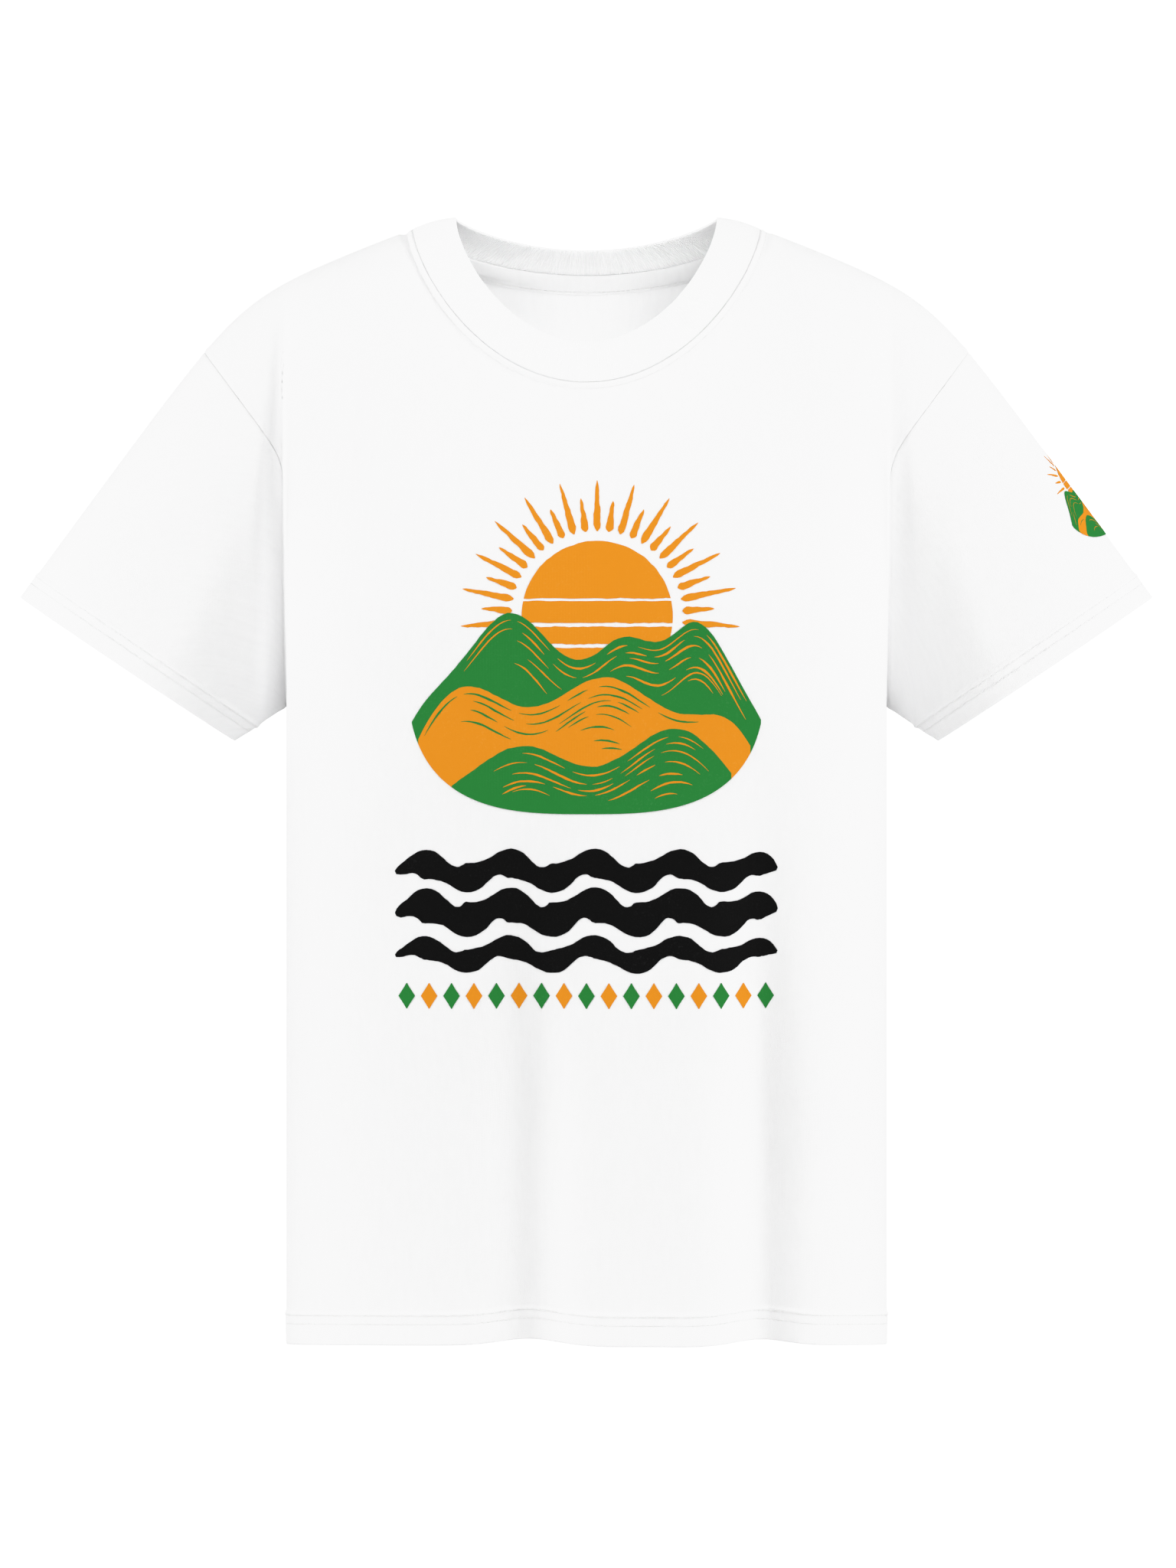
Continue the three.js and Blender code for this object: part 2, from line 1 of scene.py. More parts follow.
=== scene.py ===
# %% [markdown]
# # A printed T-shirt, panel by panel
#
# A T-shirt is a handful of flat jersey panels, a strip of rib for the collar and a few metres of
# thread. This lesson draws it the way a sewing room makes it. The panels come first, then the
# collar, the tape, the stitches and last the ink of the print.
#
# The shirt could be modelled by hand with a sculpting brush, or dropped on a figure by a cloth
# simulation. Here it is worked out by formula instead. A formula keeps the cloth exactly on the
# fixed frame, and it lets every seam, stitch and drop of ink ask where the cloth is.

# %% Load the frame
from math import hypot, pi, radians
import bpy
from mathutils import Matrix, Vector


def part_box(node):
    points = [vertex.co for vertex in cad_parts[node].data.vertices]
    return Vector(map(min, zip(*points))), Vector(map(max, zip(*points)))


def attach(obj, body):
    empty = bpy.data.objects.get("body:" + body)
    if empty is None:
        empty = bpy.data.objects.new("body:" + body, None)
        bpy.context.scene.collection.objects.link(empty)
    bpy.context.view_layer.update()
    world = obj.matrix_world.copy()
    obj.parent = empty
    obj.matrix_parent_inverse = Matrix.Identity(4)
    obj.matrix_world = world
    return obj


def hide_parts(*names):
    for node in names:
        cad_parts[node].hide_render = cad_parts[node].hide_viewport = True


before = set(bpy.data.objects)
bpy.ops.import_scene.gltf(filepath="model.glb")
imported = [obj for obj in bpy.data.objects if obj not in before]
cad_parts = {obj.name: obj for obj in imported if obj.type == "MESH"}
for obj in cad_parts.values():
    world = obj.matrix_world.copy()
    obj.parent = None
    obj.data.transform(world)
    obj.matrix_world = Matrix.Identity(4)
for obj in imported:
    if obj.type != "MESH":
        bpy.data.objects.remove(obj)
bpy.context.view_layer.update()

from types import SimpleNamespace

import bpy
import numpy as np

print("frame:", sorted(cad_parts))

# %% [markdown]
# ## Step 1: the few sizes that drive everything
#
# The frame already holds the shirt's outline, so the main sizes are read from the boxes of its
# nodes. The rest are the depths that nobody can read from a box: how full the chest is, how fast
# the shoulder rounds over, how deep the neck is cut. Millimetres are easier to think in, so the
# constant MM turns them into Blender's metres.

# %% Sizes read from the frame
MM = 0.001

hem_low, hem_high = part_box("bottom_hem")
sleeve_hem_low, sleeve_hem_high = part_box("left_sleeve_hem")
front_low, front_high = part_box("front_body")
rib_low, rib_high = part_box("neck_rib")

BODY_HALF_WIDTH = hem_high.x
HEM_LEVEL = hem_low.z
SHOULDER_TIP_X = front_high.x
NECK_POINT = (rib_high.x, front_high.z)
SLEEVE_TIP_X = sleeve_hem_high.x
SLEEVE_HEM_SLANT = 15 * MM
SLEEVE_HEM_LOW = (sleeve_hem_low.x + SLEEVE_HEM_SLANT, sleeve_hem_low.z)
ARMPIT = (BODY_HALF_WIDTH, -312 * MM)
print("half chest", round(BODY_HALF_WIDTH, 3), "body length", round(-HEM_LEVEL, 3))

# %% Sizes of the drape
SHOULDER_SLOPE = 0.43
SHOULDER_FLATTENING = 60 * MM
SLEEVE_EXTRA_SLOPE = 0.937
SHOULDER_BEND = 220 * MM
SHOULDER_BEND_SOFTNESS = 15.8 * MM
ARMHOLE_BEND_LEVEL = -156 * MM
ARMHOLE_BEND_SOFTNESS = 6 * MM
SLEEVE_CAP_DEPTH = 56 * MM
SLEEVE_HEM_DEPTH = 42 * MM
SLEEVE_ROUNDNESS = 2.2
CREASE_X = 193 * MM
CREASE_BODY_SIDE = 2.5 * MM
CREASE_SLEEVE_SIDE = (4 * MM, 12 * MM)

FRONT = SimpleNamespace(
    name="front", sign=-1, shoulder_depth=66 * MM, chest_depth=122 * MM, hem_depth=116 * MM,
    chest_level=-270 * MM, dome=150 * MM, roundness=2.9, creases=(9 * MM, 2.5 * MM),
    neck_seam_low=-109 * MM,
    neck_edge_low=-83 * MM, neck_edge_arch=0.67, neck_edge_depth=68 * MM, hem_rise=7 * MM,
)
BACK = SimpleNamespace(
    name="back", sign=1, shoulder_depth=66 * MM, chest_depth=110 * MM, hem_depth=102 * MM,
    chest_level=-200 * MM, dome=110 * MM, roundness=2.3, creases=(9 * MM, 9 * MM),
    neck_seam_low=-36 * MM,
    neck_edge_low=-18 * MM, neck_edge_arch=0.9, neck_edge_depth=46 * MM, hem_rise=5 * MM,
)

# %% [markdown]
# The folds that hang down to the hem come from the spare width of the body. Each one is a long
# soft ridge or hollow: it starts below the chest and is full at the hem. A positive height
# stands proud. A handful of long gaussian bumps is enough, and it is easy to move one.

# %% The hanging folds
def hanging_fold(across, width, height, start, full):
    return SimpleNamespace(
        across=across * MM, width=width * MM, height=height * MM, start=start * MM, full=full * MM,
    )


FRONT.folds = [
    hanging_fold(-36, 25, -19, -330, -600),
    hanging_fold(18, 34, 4, -330, -640),
    hanging_fold(66, 26, 4, -300, -640),
    hanging_fold(109, 22, -17, -300, -600),
]
BACK.folds = [
    hanging_fold(-112, 34, 8, -330, -700),
    hanging_fold(-40, 32, -9, -300, -700),
    hanging_fold(36, 34, 8, -320, -700),
    hanging_fold(108, 30, -8, -360, -700),
]
FOLD_LIMIT = 150 * MM
HEM_DIP_ON_FOLDS = 0.16


# %% [markdown]
# ## Step 2: small helpers for curves
#
# NumPy works on whole arrays at once, so these helpers take one number or a million. Each is a
# shape that cloth keeps making: a soft start, a rounded end, an arch, a bend between two slopes.

# %% Helpers for curves
def mix(a, b, share):
    return a + (b - a) * share


def between(lower, upper, rows):
    """A grid from one line of places to another."""
    return np.array([mix(lower, upper, share) for share in np.linspace(0, 1, rows + 1)])


def ease(value, start, end):
    """0 before start, 1 after end, and smooth in between. start may be the larger one."""
    share = np.clip((value - start) / (end - start), 0, 1)
    return share * share * (3 - 2 * share)


def round_off(value, roundness):
    return (1 - np.minimum(np.abs(value), 1) ** roundness) ** (1 / roundness)


def arch_over(value, exponent):
    return (1 - np.minimum(value * value, 1)) ** exponent


def soft_bend(value, softness):
    return softness * np.logaddexp(0, value / softness)


def bump(value, centre, width):
    return np.exp(-(((value - centre) / width) ** 2))


# %% [markdown]
# Real cloth is never quite even. A few long sine waves in chosen directions give a calm
# unevenness. The directions come from a seeded generator, so each run draws the same shirt.

# %% Calm unevenness
def wave_field(seed, shortest, longest, count=9):
    """A function of two places that wanders between about -1 and 1."""
    chance = np.random.default_rng(seed)
    angle = chance.uniform(0, pi, count)
    pace = 2 * pi / chance.uniform(shortest, longest, count)
    offset = chance.uniform(0, 2 * pi, count)

    def field(u, v):
        total = 0
        for k in range(count):
            total = total + np.sin(pace[k] * (u * np.cos(angle[k]) + v * np.sin(angle[k])) + offset[k])
        return total / np.sqrt(2 * count)

    return field


# %% [markdown]
# ## Step 3: the outline and the depth of the cloth
#
# Seen from the front, the shirt fills an outline. Over each spot of that outline stands the
# cloth: so far in front of the plane through the shoulder seams, and so far behind it. That makes
# a surface of one formula per side. The torso is a rounded section that fills out from the
# shoulder to the chest, the sleeve is a rounded tube, and the deeper one of the two wins, softly
# at the shoulder and sharply at the armpit.

# %% The shoulder line
def top_line(x):
    """Height of the shoulder, and further out of the sleeve's upper edge."""
    across = np.hypot(x, SHOULDER_FLATTENING) - hypot(NECK_POINT[0], SHOULDER_FLATTENING)
    bend = soft_bend(np.abs(x) - SHOULDER_BEND, SHOULDER_BEND_SOFTNESS)
    return NECK_POINT[1] - SHOULDER_SLOPE * across - SLEEVE_EXTRA_SLOPE * bend


def unit(vector):
    return vector / np.linalg.norm(vector)


SHOULDER_TIP = np.array([SHOULDER_TIP_X, top_line(SHOULDER_TIP_X)])
SLEEVE_TIP = np.array([SLEEVE_TIP_X, top_line(SLEEVE_TIP_X)])
ALONG_SLEEVE = unit(SLEEVE_TIP - SHOULDER_TIP)
UNDER_EDGE = unit(np.array(SLEEVE_HEM_LOW) - np.array(ARMPIT))
UNDER_NORMAL = np.array([-UNDER_EDGE[1], UNDER_EDGE[0]])
print("shoulder tip", SHOULDER_TIP.round(4), "sleeve tip", SLEEVE_TIP.round(4))


# %% The armhole and the neckline from the front
def armhole_x(z):
    """Upright above the armpit, then slanting out to the shoulder tip."""
    bend = soft_bend(z - ARMHOLE_BEND_LEVEL, ARMHOLE_BEND_SOFTNESS)
    bend_at_tip = soft_bend(SHOULDER_TIP[1] - ARMHOLE_BEND_LEVEL, ARMHOLE_BEND_SOFTNESS)
    return mix(ARMPIT[0], SHOULDER_TIP_X, bend / bend_at_tip)


NECK_SEAM_ARCH = 0.7


def neck_seam_z(side, x):
    return mix(NECK_POINT[1], side.neck_seam_low, arch_over(x / NECK_POINT[0], NECK_SEAM_ARCH))


# %% Depth of torso and sleeve
def torso_depth(side, x, z):
    chest = mix(side.shoulder_depth, side.chest_depth, ease(z, -20 * MM, side.chest_level))
    slimming = (side.chest_depth - side.hem_depth) * ease(z, side.chest_level, HEM_LEVEL)
    over_shoulder = round_off(1 - np.clip((top_line(x) - z) / side.dome, 0, 1), 2)
    return (chest - slimming) * over_shoulder * round_off(x / BODY_HALF_WIDTH, side.roundness)


def sleeve_depth(x, z):
    outward = np.abs(x)
    slope = (top_line(outward + 1 * MM) - top_line(outward - 1 * MM)) / (2 * MM)
    below_top = (top_line(outward) - z) / np.hypot(1, slope)
    above_under = (outward - ARMPIT[0]) * UNDER_NORMAL[0] + (z - ARMPIT[1]) * UNDER_NORMAL[1]
    share = np.clip(below_top / np.maximum(below_top + above_under, 1 * MM), 0, 1)
    along = (outward - SHOULDER_TIP[0]) * ALONG_SLEEVE[0] + (z - SHOULDER_TIP[1]) * ALONG_SLEEVE[1]
    length = np.linalg.norm(SLEEVE_TIP - SHOULDER_TIP)
    depth = mix(SLEEVE_CAP_DEPTH, SLEEVE_HEM_DEPTH, np.clip(along / length, 0, 1))
    return depth * round_off(2 * share - 1, SLEEVE_ROUNDNESS) * ease(outward, 60 * MM, 150 * MM)


# %% [markdown]
# Besides the long folds, a worn shirt has slack that gathers into short drag lines, from the
# armpit towards the chest and along the underside of the sleeve. Each drag line is one soft
# ridge between two points of the front view, and the unevenness goes under all of them.

# %% Folds, drag lines and unevenness
def drag_line(start, end, width, height):
    return SimpleNamespace(
        start=np.array(start) * MM, end=np.array(end) * MM, width=width * MM, height=height * MM,
    )


FRONT.drags = [
    drag_line((186, -318), (120, -430), 16, 1.6),
    drag_line((-186, -318), (-120, -430), 16, 1.6),
    drag_line((224, -190), (262, -300), 14, 1.5),
    drag_line((-224, -190), (-262, -300), 14, 1.5),
    drag_line((150, -95), (205, -200), 22, 1.2),
    drag_line((-150, -95), (-205, -200), 22, 1.2),
]
BACK.drags = [
    drag_line((184, -300), (70, -250), 18, 3.0),
    drag_line((-184, -300), (-70, -250), 18, 3.0),
    drag_line((186, -330), (96, -460), 20, 3.4),
    drag_line((-186, -330), (-96, -460), 20, 3.4),
    drag_line((-60, -110), (60, -118), 20, 1.6),
    drag_line((222, -200), (270, -298), 15, 2.2),
    drag_line((-222, -200), (-270, -298), 15, 2.2),
]
UNEVENNESS = 0.5 * MM
uneven = {"front": wave_field(3, 70 * MM, 190 * MM), "back": wave_field(5, 70 * MM, 190 * MM)}


def fold_depth(side, x, z):
    towards_seams = 1 - ease(np.abs(x), FOLD_LIMIT, BODY_HALF_WIDTH)
    depth = 0
    for fold in side.folds:
        depth = depth + fold.height * ease(z, fold.start, fold.full) * bump(x, fold.across, fold.width)
    return depth * towards_seams


def drag_depth(side, x, z):
    depth = 0
    for drag in side.drags:
        run = drag.end - drag.start
        share = ((x - drag.start[0]) * run[0] + (z - drag.start[1]) * run[1]) / (run @ run)
        aside = np.hypot(x - drag.start[0] - share * run[0], z - drag.start[1] - share * run[1])
        depth = depth + drag.height * bump(aside, 0, drag.width) * arch_over(2 * share - 1, 1)
    return depth


# %% The skin: one formula per side
def crease(side, x, z):
    """Depth that is lost where the sleeve folds in behind the body."""
    along = ease(z, -40 * MM, -210 * MM)
    aside = np.abs(x) - CREASE_X
    width = np.where(aside < 0, CREASE_BODY_SIDE, mix(*CREASE_SLEEVE_SIDE, along))
    return np.where(x < 0, *side.creases) * along * np.exp(-((aside / width) ** 4))


def skin_depth(side, x, z):
    sharpness = mix(2.2, 7, ease(z, -60 * MM, -220 * MM))
    torso = torso_depth(side, x, z)
    sleeve = sleeve_depth(x, z)
    joined = (torso ** sharpness + sleeve ** sharpness) ** (1 / sharpness)
    inside_outline = ease(joined, 4 * MM, 30 * MM)
    slack = drag_depth(side, x, z) + UNEVENNESS * uneven[side.name](x, z)
    creased = joined - np.minimum(crease(side, x, z), 0.6 * joined)
    return creased + fold_depth(side, x, z) + slack * inside_outline


def on_skin(side, x, z):
    """Points of the skin over spots of the front view."""
    depth = np.maximum(skin_depth(side, x, z), 0)
    return np.stack([x, side.sign * depth, z], axis=-1)


probe = skin_depth(FRONT, np.array([0.0]), np.array([-0.3]))[0]
print("depth of the chest in front:", round(float(probe), 4))

# %% [markdown]
# ## Step 4: a panel as a grid
#
# A knitted panel has two directions, so a grid suits it: rows run across the shirt and columns
# run up and down. The lowest rows follow the hem, and the upper rows rise with the shoulders and
# dip with the neckline, so the last row lies exactly on the seams. Grid steps are fine next to a
# seam, where the cloth bends tightly, and coarse on the open panel.

# %% Even and graded steps
def spaced_along(points, shares):
    """Points at these shares of the length of a line."""
    steps = np.linalg.norm(np.diff(points, axis=0), axis=1)
    travelled = np.concatenate([[0], np.cumsum(steps)])
    wanted = shares * travelled[-1]
    return np.stack([np.interp(wanted, travelled, points[:, k]) for k in range(points.shape[1])], axis=1)


def line_length(points):
    return np.linalg.norm(np.diff(points, axis=0), axis=1).sum()


def graded(length, step_at):
    """Places from 0 to length that lie about step_at(place) apart."""
    place = np.linspace(0, length, 4001)
    pace = 1 / step_at(place)
    count = np.concatenate([[0], np.cumsum((pace[1:] + pace[:-1]) / 2 * np.diff(place))])
    steps = int(np.ceil(count[-1]))
    return np.interp(np.linspace(0, count[-1], steps + 1), count, place)


def steps_from_ends(length, first, last, coarse, growth=0.09):
    """Step sizes that grow from each end. first and last are (step, distance that it is kept)."""
    def step_at(place):
        from_start = first[0] + growth * np.maximum(place - first[1], 0)
        from_end = last[0] + growth * np.maximum(length - place - last[1], 0)
        return np.minimum(np.minimum(from_start, from_end), coarse)

    return graded(length, step_at)


# %% The lines across a body panel
RISE_LEVEL = -520 * MM
HEM_BAND = 19 * MM
NECK_SPREAD = 38 * MM
NECK_SPREAD_FALL = 45 * MM


def top_shape(side, x, edge):
    drop = SHOULDER_TIP[1] - edge[1]
    neck = NECK_POINT[0] + NECK_SPREAD * (1 - np.exp(-drop / NECK_SPREAD_FALL))
    outward = np.abs(x)
    on_neck = neck_seam_z(side, outward / neck * NECK_POINT[0])
    on_shoulder = top_line(mix(NECK_POINT[0], SHOULDER_TIP_X, (outward - neck) / (edge[0] - neck)))
    return np.where(outward < neck, on_neck, on_shoulder)


def hem_rise(side, x):
    across = round_off(x / BODY_HALF_WIDTH, side.roundness)
    return side.hem_rise * across - HEM_DIP_ON_FOLDS * fold_depth(side, x, HEM_LEVEL)


def line_across(side, edge, samples=1601):
    x = np.linspace(-edge[0], edge[0], samples)
    rise = ease(edge[1], RISE_LEVEL, SHOULDER_TIP[1])
    at_hem = 1 - ease(edge[1], HEM_LEVEL + HEM_BAND, RISE_LEVEL)
    z = edge[1] + rise * (top_shape(side, x, edge) - SHOULDER_TIP[1]) + at_hem * hem_rise(side, x)
    points = on_skin(side, x, z)
    if edge[1] <= ARMPIT[1] or edge[1] >= SHOULDER_TIP[1] - 1e-9:
        points[[0, -1], 1] = 0
    return points


# %% The armhole on the skin
def armhole_seam(side, samples=801):
    """From the armpit up to the shoulder tip, on the +X side."""
    z = np.linspace(ARMPIT[1], SHOULDER_TIP[1], samples)
    points = on_skin(side, armhole_x(z), z)
    points[[0, -1], 1] = 0
    return points


for side in (FRONT, BACK):
    print(side.name, "armhole", round(line_length(armhole_seam(side)), 3), "m")


# %% The grid of a body panel
def body_grid(side):
    seam = armhole_seam(side)
    side_seam = np.array([[BODY_HALF_WIDTH, 0, HEM_LEVEL], [BODY_HALF_WIDTH, 0, ARMPIT[1]]])
    edge_line = np.concatenate([side_seam, seam[1:]])
    length = line_length(edge_line)
    rows = steps_from_ends(length, (0.9 * MM, 24 * MM), (1.2 * MM, 14 * MM), 3.6 * MM) / length
    edges = spaced_along(edge_line, rows)
    edges[-1] = seam[-1]

    quarter = 125 * MM
    outer = steps_from_ends(quarter, (0.6 * MM, 4 * MM), (2 * MM, 10 * MM), 3.2 * MM) / quarter / 4
    middle = steps_from_ends(quarter, (2 * MM, 10 * MM), (2.4 * MM, 10 * MM), 2.4 * MM) / quarter / 4
    half = np.concatenate([outer, 0.25 + middle[1:]])
    even = np.concatenate([half, 1 - half[-2::-1]])

    top = line_across(side, SHOULDER_TIP, 8001)
    shoulder = np.abs(top[:, 0]) >= NECK_POINT[0]
    on_shoulder = line_length(top[shoulder & (top[:, 0] < 0)]) / line_length(top)
    with_top = np.interp(even, [0, 0.25, 0.75, 1], [0, on_shoulder, 1 - on_shoulder, 1])
    grid = []
    for edge in edges:
        corner = edge[[0, 2]]
        rise = ease(corner[1], RISE_LEVEL, SHOULDER_TIP[1])
        grid.append(spaced_along(line_across(side, corner), mix(even, with_top, rise)))
    return np.array(grid), even


front_grid, front_shares = body_grid(FRONT)
back_grid, back_shares = body_grid(BACK)
back_grid = back_grid[:, ::-1]
print("front panel grid", front_grid.shape, "back panel grid", back_grid.shape)

# %% [markdown]
# ## Step 5: the sleeves
#
# A sleeve is a tube, so its grid is a stack of rings. Each ring starts on the sleeve's upper
# edge, runs down over the front to the seam under the arm, and climbs back over the rear. The
# first ring lies on the armhole seam and the last on the hem.

# %% The rings of a sleeve
SLEEVE_HEM_BAND = 17 * MM
RING_STEPS = 110


def sleeve_half_ring(side, hand, upper, under, share_of_armhole):
    t = np.linspace(0, 1, 801)
    seam_z = mix(SHOULDER_TIP[1], ARMPIT[1], t)
    seam = np.stack([armhole_x(seam_z), seam_z], axis=1)
    chord = mix(SHOULDER_TIP, np.array(ARMPIT), t[:, None])
    place = mix(upper, under, t[:, None]) + (seam - chord) * share_of_armhole
    points = on_skin(side, hand * place[:, 0], place[:, 1])
    points[[0, -1], 1] = 0
    return spaced_along(points, np.linspace(0, 1, RING_STEPS + 1))


def sleeve_grid(hand):
    """Rings from the armhole to the hem. hand is 1 on the wearer's left and -1 on the right."""
    upper_length = np.linalg.norm(SLEEVE_TIP - SHOULDER_TIP)
    hold = SLEEVE_HEM_BAND + 4 * MM
    rows = steps_from_ends(upper_length, (0.6 * MM, 4 * MM), (0.9 * MM, hold), 3.2 * MM)
    grid = []
    for share in rows / upper_length:
        upper_x = mix(SHOULDER_TIP[0], SLEEVE_TIP[0], share)
        upper = np.array([upper_x, top_line(upper_x)])
        under = mix(np.array(ARMPIT), np.array(SLEEVE_HEM_LOW), share)
        front = sleeve_half_ring(FRONT, hand, upper, under, 1 - share)
        rear = sleeve_half_ring(BACK, hand, upper, under, 1 - share)[::-1]
        grid.append(np.concatenate([front[:-1], rear[:-1]]))
    grid = np.array(grid)
    return grid if hand > 0 else np.roll(grid[:, ::-1], 1, axis=1)


sleeve_grids = {"left": sleeve_grid(1), "right": sleeve_grid(-1)}
print("sleeve grid", sleeve_grids["left"].shape)

# %% [markdown]
# ## Step 6: which way the cloth faces, and how far a seam is
#
# Everything fine sits on the cloth: it needs the direction in which each spot faces, and its
# distance to the seams around it. Both come straight from the grid. The columns must run so
# that across times up points out of the shirt.

# %% Facing and distances
def facing(grid, ring=False):
    across = np.roll(grid, -1, axis=1) - np.roll(grid, 1, axis=1) if ring else np.gradient(grid, axis=1)
    outward = np.cross(across, np.gradient(grid, axis=0))
    return outward / np.maximum(np.linalg.norm(outward, axis=-1, keepdims=True), 1e-12)


def length_up(grid):
    """Distance of each spot from the first row, along its column."""
    steps = np.linalg.norm(np.diff(grid, axis=0), axis=-1)
    return np.concatenate([np.zeros((1, grid.shape[1])), np.cumsum(steps, axis=0)])


def length_across(grid, ring=False):
    """Distance of each spot from the first column, along its row. A ring also gives its length."""
    line = np.concatenate([grid, grid[:, :1]], axis=1) if ring else grid
    steps = np.linalg.norm(np.diff(line, axis=1), axis=-1)
    travelled = np.concatenate([np.zeros((len(grid), 1)), np.cumsum(steps, axis=1)], axis=1)
    return (travelled[:, :-1], travelled[:, -1:]) if ring else travelled


def distance_to(points, line, reach):
    """Distance to a line of points, worked out only for points within reach of it."""
    flat = points.reshape(-1, 3)
    distance = np.full(len(flat), reach)
    low, high = line.min(axis=0) - reach, line.max(axis=0) + reach
    near = np.flatnonzero(((flat > low) & (flat < high)).all(axis=1))
    for start in range(0, len(near), 2000):
        chosen = near[start:start + 2000]
        gaps = flat[chosen][:, None] - line[None]
        distance[chosen] = np.minimum(np.sqrt((gaps ** 2).sum(axis=-1).min(axis=1)), reach)
    return distance.reshape(points.shape[:-1])


# %% [markdown]
# ## Step 7: what a seam does to the cloth
#
# At a plain seam two panels turn inwards and meet in a fine groove. Their trimmed edges lie
# inside and lift the cloth next to it a little. At the collar the trimmed edges are pressed
# towards the body and held by a row of stitches. So a narrow roll stands up beside the seam, and
# past it the cloth dips into a shallow hollow, deeper on one side of the neck than on the other.
# A hem is two layers thick. A soft ridge stands up where the second layer ends, and two rows of
# stitches pull the cloth into small puckers. Apart from the hollow it is all well under a
# millimetre, but it is what makes cloth look sewn.

# %% Seam profiles
PLAIN_GROOVE = 0.3 * MM
PLAIN_SWELL = 0.22 * MM
COLLAR_ROLL = 0.32
COLLAR_ROW = 4 * MM
COLLAR_HOLLOW = (2.2 * MM, 0.8 * MM)
COLLAR_HOLLOW_PUCKER = 0.16 * MM
TWIN_ROWS = (1.2 * MM, 6.6 * MM)
STITCH_PULL = 0.14
HEM_STEP = 0.3 * MM
HEM_WAVES = 0.26 * MM
HEM_RIDGE = 0.5

pucker = wave_field(11, 6 * MM, 17 * MM)


def plain_seam(distance):
    groove = -PLAIN_GROOVE * bump(distance, 0, 0.5 * MM)
    return groove + PLAIN_SWELL * bump(distance, 2.6 * MM, 1.7 * MM)


def collar_seam(distance, along, depth):
    roll = (COLLAR_ROLL + 0.1 * pucker(along, 0)) * MM * bump(distance, 1.8 * MM, 1.3 * MM)
    uneven_depth = depth + COLLAR_HOLLOW_PUCKER * pucker(along, 9 * MM)
    hollow = -uneven_depth * bump(distance, COLLAR_ROW + 0.8 * MM, 2.2 * MM)
    return (roll + hollow) * ease(distance, 0, 1.2 * MM)


def stitched_hem(distance, along, band):
    doubled = HEM_STEP * (1 - ease(distance, band - 0.2 * MM, band + 2 * MM))
    rows = 0
    for inset in TWIN_ROWS:
        row = band - inset
        pull = (STITCH_PULL + 0.1 * pucker(along, row)) * MM
        rows = rows - pull * bump(distance, row, 0.8 * MM)
    waves = HEM_WAVES * pucker(along, distance / 3) * bump(distance, band - 4 * MM, 6 * MM)
    height = (HEM_RIDGE + 0.16 * pucker(along, band)) * MM
    return doubled + rows + waves + height * bump(distance, band - 0.3 * MM, 1.3 * MM)


# %% Relief of the body panels
def body_relief(grid, side, shares):
    up = length_up(grid)
    from_top = up[-1:] - up
    across = length_across(grid)
    to_side = np.minimum(across, across[:, -1:] - across)
    on_shoulder = ease(np.abs(shares - 0.5), 0.252, 0.256)
    seam_line = grid[-1][np.abs(shares - 0.5) <= 0.2501]
    seam_line = spaced_along(seam_line, np.linspace(0, 1, 900))
    to_neck = distance_to(grid, seam_line, 12 * MM)
    relief = plain_seam(to_side) * ease(up, 2 * MM, 6 * MM)
    relief = relief + plain_seam(from_top) * on_shoulder
    hollow = mix(*COLLAR_HOLLOW, ease(grid[..., 0], -50 * MM, 50 * MM))
    relief = relief + collar_seam(to_neck, across, hollow) * ease(to_neck, 12 * MM, 9 * MM)
    relief = relief + stitched_hem(up, across, HEM_BAND)
    return relief, up, across, to_neck


JERSEY = 0.65 * MM
HEM_LAYERS = 1.7 * MM


def layers(distance, band):
    """Thickness of the cloth: single on the panel, doubled in the hem."""
    return mix(HEM_LAYERS, JERSEY, ease(distance, band, band + 0.9 * MM))


# %% [markdown]
# ## Step 8: from a grid to closed cloth
#
# A surface without thickness looks like paper at its edges. Each panel therefore gets a second
# skin inside, as far away as the cloth is thick, and the two skins are joined all round. Along a
# hem the cloth is folded, so its edge is a small half turn. The mesh also stores where each spot
# lies on the flat knit, in metres: the material draws its loops with that.

# %% Closing a grid into cloth
def fold_rows(outer_row, inner_row, beyond, turns=5):
    """Half a turn from the outer to the inner skin, round a folded edge."""
    middle = (outer_row + inner_row) / 2
    reach = (outer_row - inner_row) / 2
    radius = np.linalg.norm(reach, axis=-1, keepdims=True)
    angles = pi * np.arange(1, turns) / turns
    return [middle + reach * np.cos(angle) + beyond * radius * np.sin(angle) for angle in angles]


def direction(vectors):
    return vectors / np.maximum(np.linalg.norm(vectors, axis=-1, keepdims=True), 1e-12)


def cloth_section(outer, inner, folds):
    """Rows of a closed section: up the outer skin, over the top, and down the inner skin."""
    last = fold_rows(outer[-1], inner[-1], direction(outer[-1] - outer[-2])) if "last" in folds else []
    first = fold_rows(outer[0], inner[0], direction(outer[0] - outer[1])) if "first" in folds else []
    return np.array([*outer, *last, *inner[::-1], *first[::-1]]), len(last), len(first)


